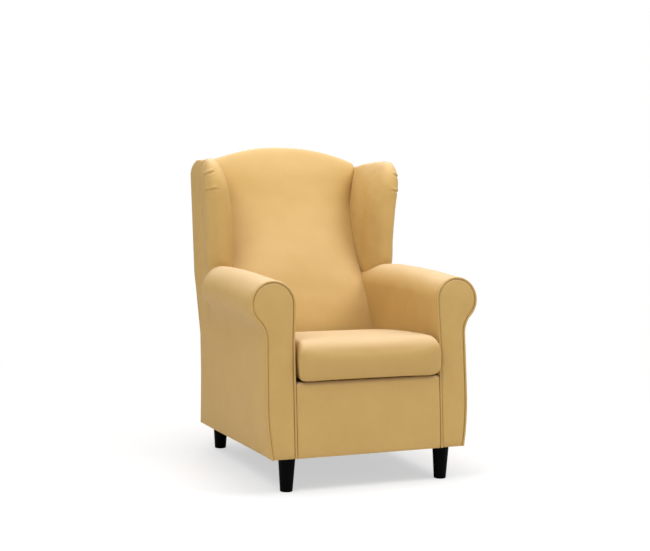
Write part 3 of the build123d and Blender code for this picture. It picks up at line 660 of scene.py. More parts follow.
def arm_columns():
    """Each column's share of the rear round: growing on the neck, all on the outer roll, none inside."""
    neck = NECK_SHARE * (1 - np.cos(np.linspace(0, pi / 4, NECK_COUNT))) / (1 - DIAGONAL)
    angle = np.linspace(-45, 180, ROLL_COUNT)
    roll = NECK_SHARE + (1 - NECK_SHARE) * soft_step(angle, *ROUND_GROWS)
    roll *= 1 - soft_step(angle, *ROUND_ENDS)
    return join([np.zeros(TAIL_COUNT), neck, roll, np.zeros(INSIDE_COUNT)])


def arm_rings(side):
    """The arm's rings, with gathers behind the piping and uneven padding."""
    offsets, front_insets, rear_insets = arm_rows()
    plain = on_lean(scroll(offsets, front_insets), offsets[:, None])
    drawn = on_lean(scroll(offsets, front_insets + rear_insets), offsets[:, None])
    share = arm_columns()[None, :]
    rings = plain + (drawn - plain) * share[..., None]
    column = np.arange(rings.shape[1])[None, :]
    stretch = (1 - share) * (ARM_REAR - ARM_LENGTH) * soft_step(offsets, *SHRINK_AT)[:, None]
    rings[..., 1] += stretch * (column >= TAIL_COUNT + NECK_COUNT)
    rings = on_side(rings, side)
    behind = (offsets - FACING)[:, None]
    gathers = np.sin(column * GATHER_TURN + GATHER_WANDER * ripple(rings, 0.12, 5))
    gathers *= np.exp(-behind / GATHER_REACH) * GATHER_DEPTH
    lumps = unevenness(rings, ARM_LUMPS) * soft_step(column, TAIL_COUNT, TAIL_COUNT + NECK_COUNT)
    return rings + ring_normals(rings) * (gathers + lumps)[..., None]


cover_sides("arm_cover", arm_rings, ["arm_cover", "arm_roll_foam", "arm_inner_foam"])

# %% [markdown]
# ## Flat panels
# Outside arms, facings, border and outside back are panels: a surface between two edges, `(1 - w) * A + w
# * B`. The cloth is pulled over an edge, so the panel is full in the middle and rounds down within a few
# millimetres of its outline. The rise is a quarter circle of the distance to the nearest edge.

# %% Panel builder
OUTLINE_CHUNK = 64


def between(first, second, share):
    """Straight lines from one edge to the other, rows along the edges."""
    share = share[None, :, None]
    return first[:, None, :] * (1 - share) + second[:, None, :] * share


def edge_shares(count):
    """Places across a panel, closer together near both edges."""
    return (1 - np.cos(np.linspace(0, pi, count))) / 2


def edge_gap(grid):
    """Distance from each point of an open grid to the nearest point of its outline."""
    outline = join([grid[0], grid[:, -1], grid[-1][::-1], grid[::-1, 0]])
    flat = grid.reshape(-1, 3)
    gaps = np.full(len(flat), np.inf)
    for part in np.array_split(outline, max(1, len(outline) // OUTLINE_CHUNK)):
        steps = flat[:, None, :] - part[None, :, :]
        gaps = np.minimum(gaps, np.sqrt((steps**2).sum(-1)).min(axis=1))
    return gaps.reshape(grid.shape[:2])


def grid_normals(grid, outward):
    """Unit normals of an open grid, turned to the side of the outward direction."""
    normal = unit(np.cross(np.gradient(grid, axis=0), np.gradient(grid, axis=1)))
    return normal * np.where((normal * outward).sum(-1, keepdims=True) < 0, -1.0, 1.0)


def closed_panel(grid, outward, lift, thickness):
    """Rings of a panel: its face, lifted off the grid, and then its back behind it."""
    normal = grid_normals(grid, outward)
    face = grid + normal * lift[..., None]
    back = (grid - normal * thickness)[:, ::-1]
    return join([face, back], axis=1)


def side_panel(side, first, second, outward, waves, thickness, rise, round_over, bulge, across=30):
    """A panel between two edges: rounded at its outline, full in the middle and a little uneven."""
    grid = between(first, second, edge_shares(across))
    gap = edge_gap(grid)
    lift = rise * quarter_round(gap / round_over) + bulge * soft_step(gap, 0.0, gap.max())
    rings = closed_panel(grid, outward, lift, thickness)
    lumps = unevenness(on_side(rings, side), waves)
    lumps[:, across:] = 0.0
    return on_side(rings + outward * lumps[..., None], side)


# %% [markdown]
# ## Outside arms
# Under the roll the outside arm is one panel from the hollow down to the base, drawn in a little at its
# foot. The seam in the hollow hardly shows: the panel runs up straight behind the neck, the arm's cover
# runs down behind the panel, and the two surfaces touch along the waist line.

# %% Outside arms
OUTSIDE_ROWS, OUTSIDE_COLUMNS = 96, 44
OUTSIDE_HEIGHT = 0.34
OUTSIDE_THICKNESS = 0.006
OUTSIDE_TUCK, OUTSIDE_ROUND = 0.0035, 0.006
TOP_TUCK, TOP_SINK, TOP_SINK_FROM = 0.014, 0.001, 0.92
STRAIGHT_AT = (ARM_LENGTH - 0.1, DEPTH)
EVEN_EDGE, EVEN_TOP = 0.03, (0.02, 0.07)
OUTSIDE_LUMPS = [(0.0010, 0.20, 21), (0.0004, 0.08, 22)]
OUTWARD = np.array([1.0, 0.0, 0.0])


def outside_arm_edges():
    """Bottom and top edges of the panel: the base's edge, and the waist line at the neck."""
    offset = np.linspace(FACING, DEPTH - OUTSIDE_TUCK, OUTSIDE_ROWS)
    neck_up = scroll_parts(np.minimum(offset, ARM_LENGTH), 0.0)[-1]
    waist = WAIST_X - TAPER * offset
    y = FRONT_Y + offset
    top = on_lean(as_points(waist, neck_up + TOP_TUCK), offset)
    top[:, 1] -= soft_step(offset, *STRAIGHT_AT) * (top[:, 1] - y)
    foot = as_points(waist, y, base_z(y))
    return offset, foot, top


def outside_arm_rings(side):
    """Rings along the arm: the face swells between foot and waist, the back follows it."""
    offset, foot, top = outside_arm_edges()
    share = edge_shares(OUTSIDE_COLUMNS)
    grid = between(foot, top, share)
    grid[..., 0] += belly(1 - share[None, :], offset[:, None])
    grid[..., 0] -= TOP_SINK * soft_step(share, TOP_SINK_FROM, 1.0)
    along = np.linspace(0, 1, OUTSIDE_ROWS)[:, None] * DEPTH
    height = share[None, :] * OUTSIDE_HEIGHT
    gap = np.minimum(height, np.minimum(along, along[::-1]))
    tuck = -OUTSIDE_TUCK * (1 - quarter_round(gap / OUTSIDE_ROUND))
    lumps = unevenness(on_side(grid, side), OUTSIDE_LUMPS) * np.clip(gap / EVEN_EDGE, 0, 1)
    lumps *= soft_step(OUTSIDE_HEIGHT - height, *EVEN_TOP)
    return on_side(closed_panel(grid, OUTWARD, tuck + lumps, OUTSIDE_THICKNESS), side)


cover_sides("outside_arm", outside_arm_rings, ["outside_arm_cover"])

# %% [markdown]
# ## Arm facings
# The scroll-shaped front of an arm is a thin pad on a board, cut to the outline and framed by piping. Rows
# run across it at each height up, from the outer edge to the inner one, and meet in a point at the top of
# the roll.

# %% Arm facings
PIPING_RADIUS, PIPING_INSET = 0.0032, 0.0036
FACING_INSET = 2 * PIPING_INSET - 0.0006
LOWER_ROWS, NECK_ROWS, ROLL_ROWS = 46, 16, 60
FACING_LUMPS = [(0.0005, 0.09, 31)]
FACING_SIZES = {"thickness": 0.001, "rise": 0.0062, "round_over": 0.009, "bulge": 0.003}


def scroll_sides(inset):
    """Heights from foot to roll top, with the outline's outer and inner x."""
    radius, roll_x, roll_up, waist, hollow, neck_up = scroll_parts(0.0, inset)
    lower = np.linspace(0.0, neck_up, LOWER_ROWS, endpoint=False)
    neck = neck_up + hollow * np.sin(np.linspace(0, pi / 4, NECK_ROWS, endpoint=False))
    roll = roll_up + radius * np.sin(np.linspace(-pi / 4, pi / 2, ROLL_ROWS))
    up = join([lower, neck, roll])
    outer_low = waist + belly(np.clip((neck_up - up) / neck_up, 0, 1), 0.0)
    outer_neck = waist + hollow - np.sqrt(np.maximum(hollow**2 - (up - neck_up) ** 2, 0))
    half = np.sqrt(np.maximum(radius**2 - (up - roll_up) ** 2, 0))
    neck_top = roll_up - radius * DIAGONAL
    outer = np.where(up < neck_up, outer_low, np.where(up < neck_top, outer_neck, roll_x + half))
    inner = np.where(up < roll_up, inside_x(up, roll_up, roll_x - radius, inset), roll_x - half)
    return up, outer, inner


def facing_rings(side):
    """The facing's face and back between its two edges on the leaning plane."""
    up, outer, inner = scroll_sides(FACING_INSET)
    first, second = (on_lean(as_points(x, up), FACING) for x in (outer, inner))
    return side_panel(side, first, second, LEAN_OUT, FACING_LUMPS, **FACING_SIZES)


cover_sides("arm_facing", facing_rings, ["arm_facing"])

# %% [markdown]
# ## Piping
# Piping is a cord wrapped in the same cloth and sewn into the seam round the facing. It is a circle
# carried along the scroll: the path lies on the leaning plane, so the circle's two directions are the
# path's own normal on that plane and the plane's normal. The wrap is never quite even, so its radius
# wavers a little.

# %% Piping
PIPING_SIDES, PIPING_ROWS = 12, 420
WAVER = 0.03
SHORT_WAVE, LONG_WAVE = 0.011, 0.037


def piping_path():
    """The outline from the outer foot over the roll to the inner foot, evenly spaced."""
    up, outer, inner = scroll_sides(PIPING_INSET)
    x = join([outer, inner[::-1][1:]])
    height = join([up, up[::-1][1:]])
    length = join([[0], np.cumsum(np.hypot(np.diff(x), np.diff(height)))])
    even = np.linspace(0, length[-1], PIPING_ROWS)
    return as_points(np.interp(even, length, x), np.interp(even, length, height)), even


def piping_rings(side):
    """Circles along the path, on the two normals."""
    path, length = piping_path()
    ahead = unit(np.gradient(path, axis=0))
    sideways = as_points(-ahead[:, 1], ahead[:, 0])
    angle = np.linspace(0, 2 * pi, PIPING_SIDES, endpoint=False)
    waves = np.sin(length * 2 * pi / SHORT_WAVE) + np.sin(length * 2 * pi / LONG_WAVE + 1.0)
    radius = (PIPING_RADIUS * (1 + WAVER * waves))[:, None]
    flat = path[:, None, :] + (radius * np.cos(angle))[..., None] * sideways[:, None, :]
    rings = on_lean(flat, FACING / 2) + (radius * np.sin(angle))[..., None] * LEAN_OUT
    return on_side(rings, side)


cover_sides("arm_piping", piping_rings, ["arm_piping"], slot="camel_piping")

# %% [markdown]
# ## The wings
# A wing is a plan drawn at every height: inside face, round front, a flank that turns in to a groove, and
# the hidden side under the outside panel. It flares out as it rises. Near the top the plan shrinks by a
# quarter round, and its front moves back by a larger one, which rounds the front corner seen from the
# side.

# %% Wing sizes
ARM_TOP = 0.630
WING_X, WING_FLARE = 0.2860, 0.053
WING_BOW, WING_BOW_Z = 0.24, 0.750
WING_RADIUS = 0.0515
WING_DEPTH, WING_FULL = 1.7, 0.85
WING_FRONT_Y = 0.135
WING_BOTTOM, WING_TOP = 0.500, 0.969
WING_TOE_IN, WING_SWELL = 0.004, 0.004
WING_REAR_GAP = 0.0066
GROOVE_Y, GROOVE_DEPTH, GROOVE_ROOM = 0.268, 0.002, 0.030
HIDDEN_DEPTH = 0.009
FLANK_IN, FLANK_DIP = 0.011, 0.010
# The outside wing's plane: its x at the rear edge, and how it toes in towards the front
OUTER_X, OUTER_TOE = 0.3262, 0.013
# Rounds at the top: height over which each draws in, and how far
TOP_FRONT = (0.109, 0.060)
TOP_INNER = (0.189, 0.052)
TOP_OUTER = (0.110, 0.047)
TOP_STRIP = (0.060, 0.012)
# Heights between which the wing comes flush with the arm, its flank turns in, and the flank's dip ends
FLUSH_Z = (0.43, 0.60)
FLANK_Z = (0.505, 0.565)
DIP_END_Z = (0.85, 0.93)
RAKE, BEND_Z = 0.157, 0.390
WING_ROWS, WING_TOP_ROWS = 150, 70
FACE_COLUMNS, FRONT_COLUMNS, FLANK_COLUMNS, SIDE_COLUMNS, BACK_COLUMNS = 40, 56, 22, 14, 12


def rear_y(z):
    """The outside back's surface: upright up to the bend, then raked."""
    return REAR_Y + RAKE * np.maximum(0.0, z - BEND_Z)


def round_in(z, top, height, draw):
    """How far a quarter ellipse of that height, which ends at the top, has drawn in."""
    rise = np.clip((z - top + height) / height, 0, 1)
    return draw * (1 - np.sqrt(1 - rise**2))


def wing_outer_x(y, z):
    """The outside wing's surface: a plane that comes down flush with the outside arm."""
    plane = OUTER_X + OUTER_TOE * (y - rear_y(z))
    waist = WAIST_X - TAPER * (y - FRONT_Y)
    return waist + (plane - waist) * soft_step(z, *FLUSH_Z)


def wing_centre(z):
    """Middle of a wing's roll, which flares and bows out as it rises."""
    return WING_X + WING_FLARE * (z - ARM_TOP) + WING_BOW * (z - WING_BOW_Z) ** 2


def wing_inner_x(z):
    """A wing's inside face at its rear, where the back pad meets it."""
    return wing_centre(z) - WING_RADIUS - WING_TOE_IN + 0.25 * round_in(z, WING_TOP, *TOP_INNER)


def wing_heights():
    """Heights of the plans: even steps, then ever closer ones round the top edge."""
    round_height = TOP_FRONT[0]
    body = np.linspace(WING_BOTTOM, WING_TOP - round_height, WING_ROWS)
    turn = quarter(WING_TOP_ROWS)[1:]
    return join([body, WING_TOP - round_height + round_height * np.sin(turn)])


print("wing: inside face from x", [round(wing_inner_x(z), 4) for z in (ARM_TOP, WING_TOP)], "m")

# %% Wing plans


def wing_plan(z):
    """One plan per height: face, front half oval, flank, hidden side, rear."""
    z = z[:, None]
    strip_draw = round_in(z, WING_TOP, *TOP_STRIP)
    inner_x = wing_centre(z) - WING_RADIUS + round_in(z, WING_TOP, *TOP_INNER)
    outer_x = wing_centre(z) + WING_RADIUS - round_in(z, WING_TOP, *TOP_OUTER)
    x = (inner_x + outer_x) / 2
    radius = (outer_x - inner_x) / 2
    y = WING_FRONT_Y + round_in(z, WING_TOP, *TOP_FRONT) + WING_DEPTH * radius
    rear = rear_y(z) - WING_REAR_GAP
    groove_y = np.maximum(GROOVE_Y, y + GROOVE_ROOM)
    groove_x = wing_outer_x(groove_y, z) - GROOVE_DEPTH - strip_draw
    tucked = soft_step(z, *FLANK_Z)
    flank_x = groove_x + (outer_x - FLANK_IN - groove_x) * tucked
    dip = FLANK_DIP * tucked * (1 - soft_step(z, *DIP_END_Z))
    inner_rear = wing_inner_x(z)
    outer_rear = wing_outer_x(rear, z) - HIDDEN_DEPTH - strip_draw
    columns = (FACE_COLUMNS, FLANK_COLUMNS, SIDE_COLUMNS, BACK_COLUMNS)
    face, flank, side, back = (np.linspace(0, 1, count, endpoint=False) for count in columns)
    front = np.linspace(pi, 2 * pi, FRONT_COLUMNS, endpoint=False)
    front_x = np.sign(np.cos(front)) * np.abs(np.cos(front)) ** WING_FULL
    front_y = -np.abs(np.sin(front)) ** WING_FULL
    plan_x = [
        inner_rear + (x - radius - inner_rear) * face - WING_SWELL * np.sin(pi * face),
        x + (radius + (flank_x - outer_x) * soft_step(front, 1.75 * pi, 2 * pi)) * front_x,
        flank_x + (groove_x - flank_x) * flank**1.5 - dip * np.sin(pi * flank),
        groove_x + (outer_rear - groove_x) * side,
        outer_rear + (inner_rear - outer_rear) * back,
    ]
    plan_y = [
        rear + (y - rear) * face,
        y + WING_DEPTH * radius * front_y,
        y + (groove_y - y) * flank,
        groove_y + (rear - groove_y) * side,
        rear + 0 * back,
    ]
    plan_x, plan_y = (join(parts, axis=1) for parts in (plan_x, plan_y))
    return as_points(plan_x, plan_y, z + 0 * plan_x)


print("wing plans:", wing_plan(wing_heights()).shape)

# %% [markdown]
# Where the wing's cloth goes round its front top corner there is too much of it, and the upholsterer lays
# the spare cloth in short pleats on the roll's outer side. A pleat is a small step: a narrow valley along
# a line with a ridge above it, fading at both ends. It is measured along the cloth, so it keeps its width
# over the round top. The wing also narrows where it meets the arm, as if pulled down tight.

# %% Wing covers
# Each pleat: share of the round front where its middle is, heights of its rear and front ends, depth
PLEATS = [(0.68, 0.862, 0.872, 0.0036), (0.70, 0.911, 0.928, 0.0038)]
PLEAT_WIDTH, PLEAT_REACH = 0.0032, 10.0
CORNER_FALL, CORNER_X, CORNER_Y = 0.030, (0.27, 0.33), (0.30, 0.39)
CLOSING = (0.4, 0.75, 0.97)
WING_FOOT = 0.08
TOP_FALL, TOP_FALL_Y, TOP_FALL_Z = 0.155, 0.250, 0.80
PINCH, PINCH_HEIGHT = 0.05, 0.014
WING_LUMPS = [(0.0012, 0.13, 41), (0.0005, 0.05, 42)]


def pleat_lift(rings, z, place, low, high, depth):
    """A step along a line that rises towards the front, faded at both ends."""
    column = np.arange(rings.shape[1])
    middle = FACE_COLUMNS + place * FRONT_COLUMNS
    ahead = np.clip((middle - column) / PLEAT_REACH, -1.0, 1.0)
    steps = np.linalg.norm(np.diff(rings, axis=0), axis=-1)
    length = join([np.zeros((1, rings.shape[1])), np.cumsum(steps, axis=0)])
    row = np.interp(low + (high - low) * (1 + ahead) / 2, z, np.arange(len(z)))
    below = row.astype(int)
    line = length[below, column] + (row - below) * steps[np.minimum(below, len(z) - 2), column]
    above = length - line
    valley = -depth * np.exp(-((above / PLEAT_WIDTH) ** 2))
    ridge = 0.6 * depth * np.exp(-(((above - 2 * PLEAT_WIDTH) / (1.6 * PLEAT_WIDTH)) ** 2))
    return (valley + ridge) * (1 - ahead**4)


def roll_top(x):
    """Height of the arm's roll under a wing."""
    radius, roll_x, roll_up, *_ = scroll_parts(ARM_LENGTH - WING_FOOT, 0.0)
    up = roll_up + np.sqrt(np.maximum(radius**2 - (np.abs(x) - roll_x) ** 2, 0.0))
    return BASE_Z + up * cos(LEAN)


def wing_fall(x, y):
    """How far a wing's top has fallen towards the rear and the outer corner."""
    corner = CORNER_FALL * soft_step(y, *CORNER_Y) * soft_step(x, *CORNER_X)
    return TOP_FALL * np.clip(y - TOP_FALL_Y, 0, None) + corner


def closed_top(rings):
    """The rings with the last one drawn together, so that no wide flat end is left."""
    middle = rings[-1:].mean(axis=1, keepdims=True)
    steps = [rings[-1:] + (middle - rings[-1:]) * share for share in CLOSING]
    return join([rings] + steps)


def wing_rings(side):
    """The wing's plans with its waist, its falling top, pleats and unevenness."""
    z = wing_heights()
    rings = wing_plan(z)
    middle = rings.mean(axis=1, keepdims=True)
    above_arm = rings[..., 2] - roll_top(rings[..., 0])
    pinch = PINCH * np.exp(-np.clip(above_arm, 0, None) / PINCH_HEIGHT)
    rings[..., :2] += (middle - rings)[..., :2] * pinch[..., None]
    x, y, height = np.moveaxis(rings, -1, 0)
    rings[..., 2] -= wing_fall(x, y) * soft_step(height, TOP_FALL_Z, WING_TOP)
    lift = sum(pleat_lift(rings, z, *pleat) for pleat in PLEATS)
    lift += unevenness(on_side(rings, side), WING_LUMPS)
    return on_side(closed_top(rings + ring_normals(rings) * lift[..., None]), side)


cover_sides("wing_cover", wing_rings, ["wing_cover", "wing_foam"])

# %% [markdown]
# ## Outside wings
# The outside of a wing is a flat panel from the groove to the rear corner, with a tail that goes down
# behind the end of the arm. Each row runs at one height from its front edge to its rear edge on the wing's
# plane.

# %% Outside wings
OUTSIDE_WING_LOW, OUTSIDE_WING_TOP = 0.385, 0.965
OUTSIDE_WING_ROWS = 150
OUTSIDE_WING_ROUND = (0.046, 0.092)
OUTSIDE_WING_RISE = 0.006
OUTSIDE_WING_SIZES = {"thickness": 0.004, "rise": OUTSIDE_WING_RISE, "round_over": 0.010, "bulge": 0.0012}
OUTSIDE_WING_GAP = 0.0033
# Heights between which the front edge goes over from the arm's end to the groove, and the tail comes out
TAIL_TO_GROOVE_Z = (0.490, 0.555)
TAIL_OUT_Z, TAIL_UNDER, TAIL_LAP = (0.385, 0.418), 0.004, 0.030
GROOVE_LIP = 0.001
OUTSIDE_WING_LUMPS = [(0.0006, 0.11, 51)]


def outside_wing_rings(side):
    """Rows by height: along the arm's end, then the groove, then round the top corner."""
    z = np.linspace(OUTSIDE_WING_LOW, OUTSIDE_WING_TOP, OUTSIDE_WING_ROWS)
    arm_end = FRONT_Y + ARM_LENGTH - TAIL_LAP + (z - BASE_Z) * tan(LEAN)
    groove = GROOVE_Y + GROOVE_LIP
    front_y = arm_end + (groove - arm_end) * soft_step(z, *TAIL_TO_GROOVE_Z)
    end_y = rear_y(z) - OUTSIDE_WING_GAP - round_in(z, OUTSIDE_WING_TOP, *OUTSIDE_WING_ROUND)
    under = OUTSIDE_WING_RISE + round_in(z, WING_TOP, *TOP_STRIP)
    under += TAIL_UNDER * (1 - soft_step(z, *TAIL_OUT_Z))
    first, second = (as_points(wing_outer_x(y, z) - under, y, z) for y in (front_y, end_y))
    return side_panel(side, first, second, OUTWARD, OUTSIDE_WING_LUMPS, **OUTSIDE_WING_SIZES)


cover_sides("outside_wing", outside_wing_rings, ["outside_wing_cover"])

# %% [markdown]
# ## The inside back
# Seen from the side the back pad bulges over the seat, leans away in a long hollow and rolls over the
# arched top. Seen from above it is crowned, and it turns in at both edges where it meets the wings. So it
# is a closed side view carried across the chair: the crown moves it forward, and a quarter round draws it
# in at the ends.

# %% Back sizes
# The pad's front line (z, y) at its two edges and in its middle
BACK_LOW = 0.305
BACK_FRONT = np.array([
    (BACK_LOW, 0.098), (0.400, 0.113), (0.480, 0.143), (0.560, 0.190), (0.640, 0.246),
    (0.715, 0.282), (0.790, 0.314), (0.870, 0.340), (0.950, 0.347),
])
BACK_CENTRE = np.array([
    (BACK_LOW, 0.084), (0.400, 0.1035), (0.480, 0.127), (0.560, 0.159), (0.640, 0.196),
    (0.715, 0.230), (0.790, 0.259), (0.870, 0.287), (0.950, 0.314),
])
BACK_HALF, BACK_LOW_HALF = 0.255, 0.2360
BACK_TUCK = 0.008
BACK_EVEN_Z = 0.945
ARCH_RADIUS = 0.620
HEIGHT = 1.012
TOP_ROUND, TOP_LEAN, TOP_GAP = 1.20, 0.15, 0.0036
SHOULDER_FROM, SHOULDER_HEIGHT = 0.60, 0.06
REAR_IN, REAR_IN_AT = 0.02, (-0.90, -0.80)
SIDE_ROUND, SIDE_DRAW = 0.014, 0.016
FRONT_POINTS, OVER_POINTS, REAR_POINTS, UNDER_POINTS = 84, 34, 30, 14
BACK_FLAT_ROWS, BACK_END_ROWS = 34, 14
BACK_LUMPS = [(0.0016, 0.24, 61), (0.0005, 0.09, 62)]


def smooth_through(points, count):
    """A smooth line through points, with a cubic for each stretch."""
    padded = join([2 * points[:1] - points[1:2], points, 2 * points[-1:] - points[-2:-1]])
    place = np.linspace(0, len(points) - 1, count)
    index = np.minimum(place.astype(int), len(points) - 2)
    t = (place - index)[:, None]
    a, b, c, d = (padded[index + k] for k in range(4))
    return b + 0.5 * t * (c - a + t * (2 * a - 5 * b + 4 * c - d + t * (3 * (b - c) + d - a)))


def drawn_ends(flat, end_round, draw, flat_rows, end_rows):
    """Places across a piece, and how far each is drawn in near both ends."""
    turn = quarter(end_rows)
    reach = join([np.linspace(0, flat, flat_rows)[:-1], flat + end_round * np.sin(turn)])
    inset = join([np.zeros(flat_rows - 1), draw * (1 - np.cos(turn))])
    return join([-reach[:0:-1], reach]), join([inset[:0:-1], inset])


# %% Inside back


def back_half(z):
    """Half width of the pad: even between the arms, wider between the wings."""
    return np.maximum(BACK_LOW_HALF, wing_inner_x(np.minimum(z, BACK_EVEN_Z)) + BACK_TUCK)


def back_section(x, inset):
    """Side view at x: front line, round top, rear line and underside."""
    out = min(1.0, abs(x) / BACK_HALF)
    full = 1 - 0.55 * out**2 - 0.45 * out**6
    top = HEIGHT - x * x / (2 * ARCH_RADIUS)
    line = BACK_FRONT + (BACK_CENTRE - BACK_FRONT) * full
    (last_z, last_y), (before_z, before_y) = line[-1], line[-2]
    shoulder = top - TOP_ROUND * (rear_y(top) - last_y)
    rise, front_y = smooth_through(line, FRONT_POINTS).T
    rise = rise + (shoulder - last_z) * soft_step(rise, SHOULDER_FROM, last_z)
    turn = np.linspace(pi, 0, OVER_POINTS)[1:-1]
    middle = (front_y[-1] + rear_y(shoulder) - TOP_GAP) / 2
    half = (rear_y(shoulder) - TOP_GAP - front_y[-1]) / 2
    over = (top - shoulder) * np.sin(turn)
    slope = (last_y - before_y) / (last_z - before_z)
    lean = TOP_LEAN + (slope - TOP_LEAN) * ((1 - np.cos(turn)) / 2) ** 2
    down = np.linspace(shoulder, BACK_LOW, REAR_POINTS)
    behind = rear_y(down) - WING_REAR_GAP - REAR_IN * soft_step(-down, *REAR_IN_AT)
    under = np.linspace(1, 0, UNDER_POINTS)[1:-1]
    under_y = front_y[0] + (behind[-1] - front_y[0]) * under
    y = join([front_y, middle + half * np.cos(turn) + lean * over, behind, under_y])
    z = join([rise, shoulder + over, down, BACK_LOW + 0 * under])
    loop = as_points(y, z)
    ahead = unit(np.roll(loop, -1, axis=0) - np.roll(loop, 1, axis=0))
    inward = as_points(ahead[:, 1], -ahead[:, 0])
    share = 1 - 0.7 * soft_step(z, shoulder - SHOULDER_HEIGHT, shoulder)
    return loop + inset * inward * share[:, None]


def back_rings():
    """Side views across the chair, closer together in the rounds at both ends."""
    reach, inset = drawn_ends(BACK_HALF - SIDE_ROUND, SIDE_ROUND, SIDE_DRAW, BACK_FLAT_ROWS, BACK_END_ROWS)
    sections = np.stack([back_section(x, draw) for x, draw in zip(reach, inset)])
    x = (reach / BACK_HALF)[:, None] * back_half(sections[..., 1])
    rings = join([x[..., None], sections], axis=-1)
    return rings + ring_normals(rings) * unevenness(rings, BACK_LUMPS)[..., None]


cover("inside_back", back_rings(), ["inside_back_cover", "back_foam"])

# %% [markdown]
# ## The outside back
# The rear of the chair is one plain panel, straight down to the base, with its edges turned in all round.
# Its top follows the arch a little below it, steps up behind the wings and falls with them to the corners.

# %% Outside back
OUTSIDE_BACK_TOP = 0.982
OUTSIDE_BACK_HALF = 0.310
OUTSIDE_BACK_RISE, OUTSIDE_BACK_ROUND, OUTSIDE_BACK_THICKNESS = 0.0035, 0.008, 0.002
OUTSIDE_BACK_ROWS, OUTSIDE_BACK_COLUMNS = 97, 90
OUTSIDE_BACK_CORNER = (0.045, 0.060)
OUTSIDE_BACK_LUMPS = [(0.0012, 0.26, 71), (0.0005, 0.10, 72)]
LUMPS_FROM = 0.04
SIDE_GAP = 0.0015
WING_TUCK, WING_STEP_X = 0.004, (0.240, 0.275)
WAIST_Z = 0.420
BACKWARD = np.array([0.0, 1.0, 0.0])


def outside_side(z):
    """Half width of the rear: the outside arm's rear edge, then the outside wing's, rounded at the top."""
    share = np.clip((WAIST_Z - z) / (WAIST_Z - BASE_Z), 0, 1)
    arm = WAIST_X - TAPER * DEPTH + belly(share, DEPTH)
    side = np.where(z < WAIST_Z, arm, wing_outer_x(rear_y(z), z))
    return side - round_in(z, OUTSIDE_WING_TOP, *OUTSIDE_BACK_CORNER) - SIDE_GAP


def outside_back_rings():
    """Columns across the chair: each rises from the base to the arch or to a wing's top."""
    across = np.linspace(-1, 1, OUTSIDE_BACK_ROWS)
    wing_x = np.abs(across) * OUTSIDE_BACK_HALF
    arch = OUTSIDE_BACK_TOP - wing_x**2 / (2 * ARCH_RADIUS)
    wing_top = WING_TOP - WING_TUCK - wing_fall(wing_x, rear_y(WING_TOP))
    top = arch + (wing_top - arch) * soft_step(wing_x, *WING_STEP_X)
    low = base_z(REAR_Y)
    z = low + (top - low)[:, None] * edge_shares(OUTSIDE_BACK_COLUMNS)[None, :]
    x = across[:, None] * outside_side(z)
    grid = as_points(x, rear_y(z) - OUTSIDE_BACK_RISE, z)
    gap = edge_gap(grid)
    lift = OUTSIDE_BACK_RISE * quarter_round(gap / OUTSIDE_BACK_ROUND)
    lift += unevenness(grid, OUTSIDE_BACK_LUMPS) * np.clip(gap / LUMPS_FROM, 0, 1)
    return closed_panel(grid, BACKWARD, lift, OUTSIDE_BACK_THICKNESS)


cover("outside_back", outside_back_rings(), ["outside_back_cover"])

# %% [markdown]
# ## Border, platform and dust cover
# Below the cushion the border closes the front between the arms. Behind it the platform cloth carries the
# cushion. Underneath, a thin black cloth is stapled to the frame and sags a little between its edges.

# %% Front border
BORDER_HALF, BORDER_DEPTH = 0.2343, 0.0225
BORDER_ROUND, BORDER_FULL, BORDER_HEM = 0.012, 0.0015, 0.003
BORDER_TUCK, BORDER_EDGE = 0.0042, 0.006
BORDER_GAP, BORDER_HEM_HEIGHT = 0.0006, 0.004
BORDER_ROWS, BORDER_FACE_POINTS, TURN_POINTS = 88, 46, 12
DECK_TOP = 0.321
BORDER_LUMPS = [(0.0009, 0.17, 81), (0.0004, 0.07, 82)]


def border_rings():
    """Side view of the border, up its face and over its round top, carried across."""
    top_up = (DECK_TOP - BASE_Z) / cos(LEAN)
    turn = quarter(TURN_POINTS)
    rise = np.linspace(0.0, top_up - BORDER_ROUND, BORDER_FACE_POINTS)[:-1]
    face = BORDER_HEM * np.exp(-rise / BORDER_HEM_HEIGHT) - BORDER_FULL * np.sin(pi * rise / rise[-1])
    up = join([rise, top_up - BORDER_ROUND + BORDER_ROUND * np.sin(turn), [top_up, 0.0]])
    offset = join([face, BORDER_ROUND * (1 - np.cos(turn)), [BORDER_DEPTH, BORDER_DEPTH]])
    x = join([[-1, -0.9985], np.linspace(-0.994, 0.994, BORDER_ROWS), [0.9985, 1]]) * BORDER_HALF
    edge = np.clip((BORDER_HALF - np.abs(x)) / BORDER_EDGE, 0, 1)
    tuck = BORDER_TUCK * (1 - quarter_round(edge))
    flat = as_points(x[:, None], up)
    rings = on_lean(flat, BORDER_GAP + np.minimum(offset + tuck[:, None], BORDER_DEPTH))
    lumps = unevenness(rings, BORDER_LUMPS) * edge[:, None]
    lumps[:, -2:] = 0.0
    rings[..., 1] -= np.abs(lumps)
    return rings


cover("front_border", border_rings(), ["border_cover", "border_foam"])

# %% Platform and dust cover
SHEET_COUNT = 40
PLATFORM_DIP = 0.003
DUST_DIP, DUST_THICKNESS, DUST_LIFT = 0.004, 0.0008, 0.002


def sheet_rings(low, high, thickness, dip):
    """A flat sheet from corner to corner that dips in the middle."""
    u = np.linspace(0, 1, SHEET_COUNT)
    v = u[:, None]
    x = low[0] + (high[0] - low[0]) * u + 0 * v
    y = low[1] + (high[1] - low[1]) * v + 0 * u
    z = high[2] - dip * np.sin(pi * u) ** 0.5 * np.sin(pi * v) ** 0.5
    top = as_points(x, y, z)
    under = as_points(x, y, z - thickness)[:, ::-1]
    return join([top, under], axis=1)


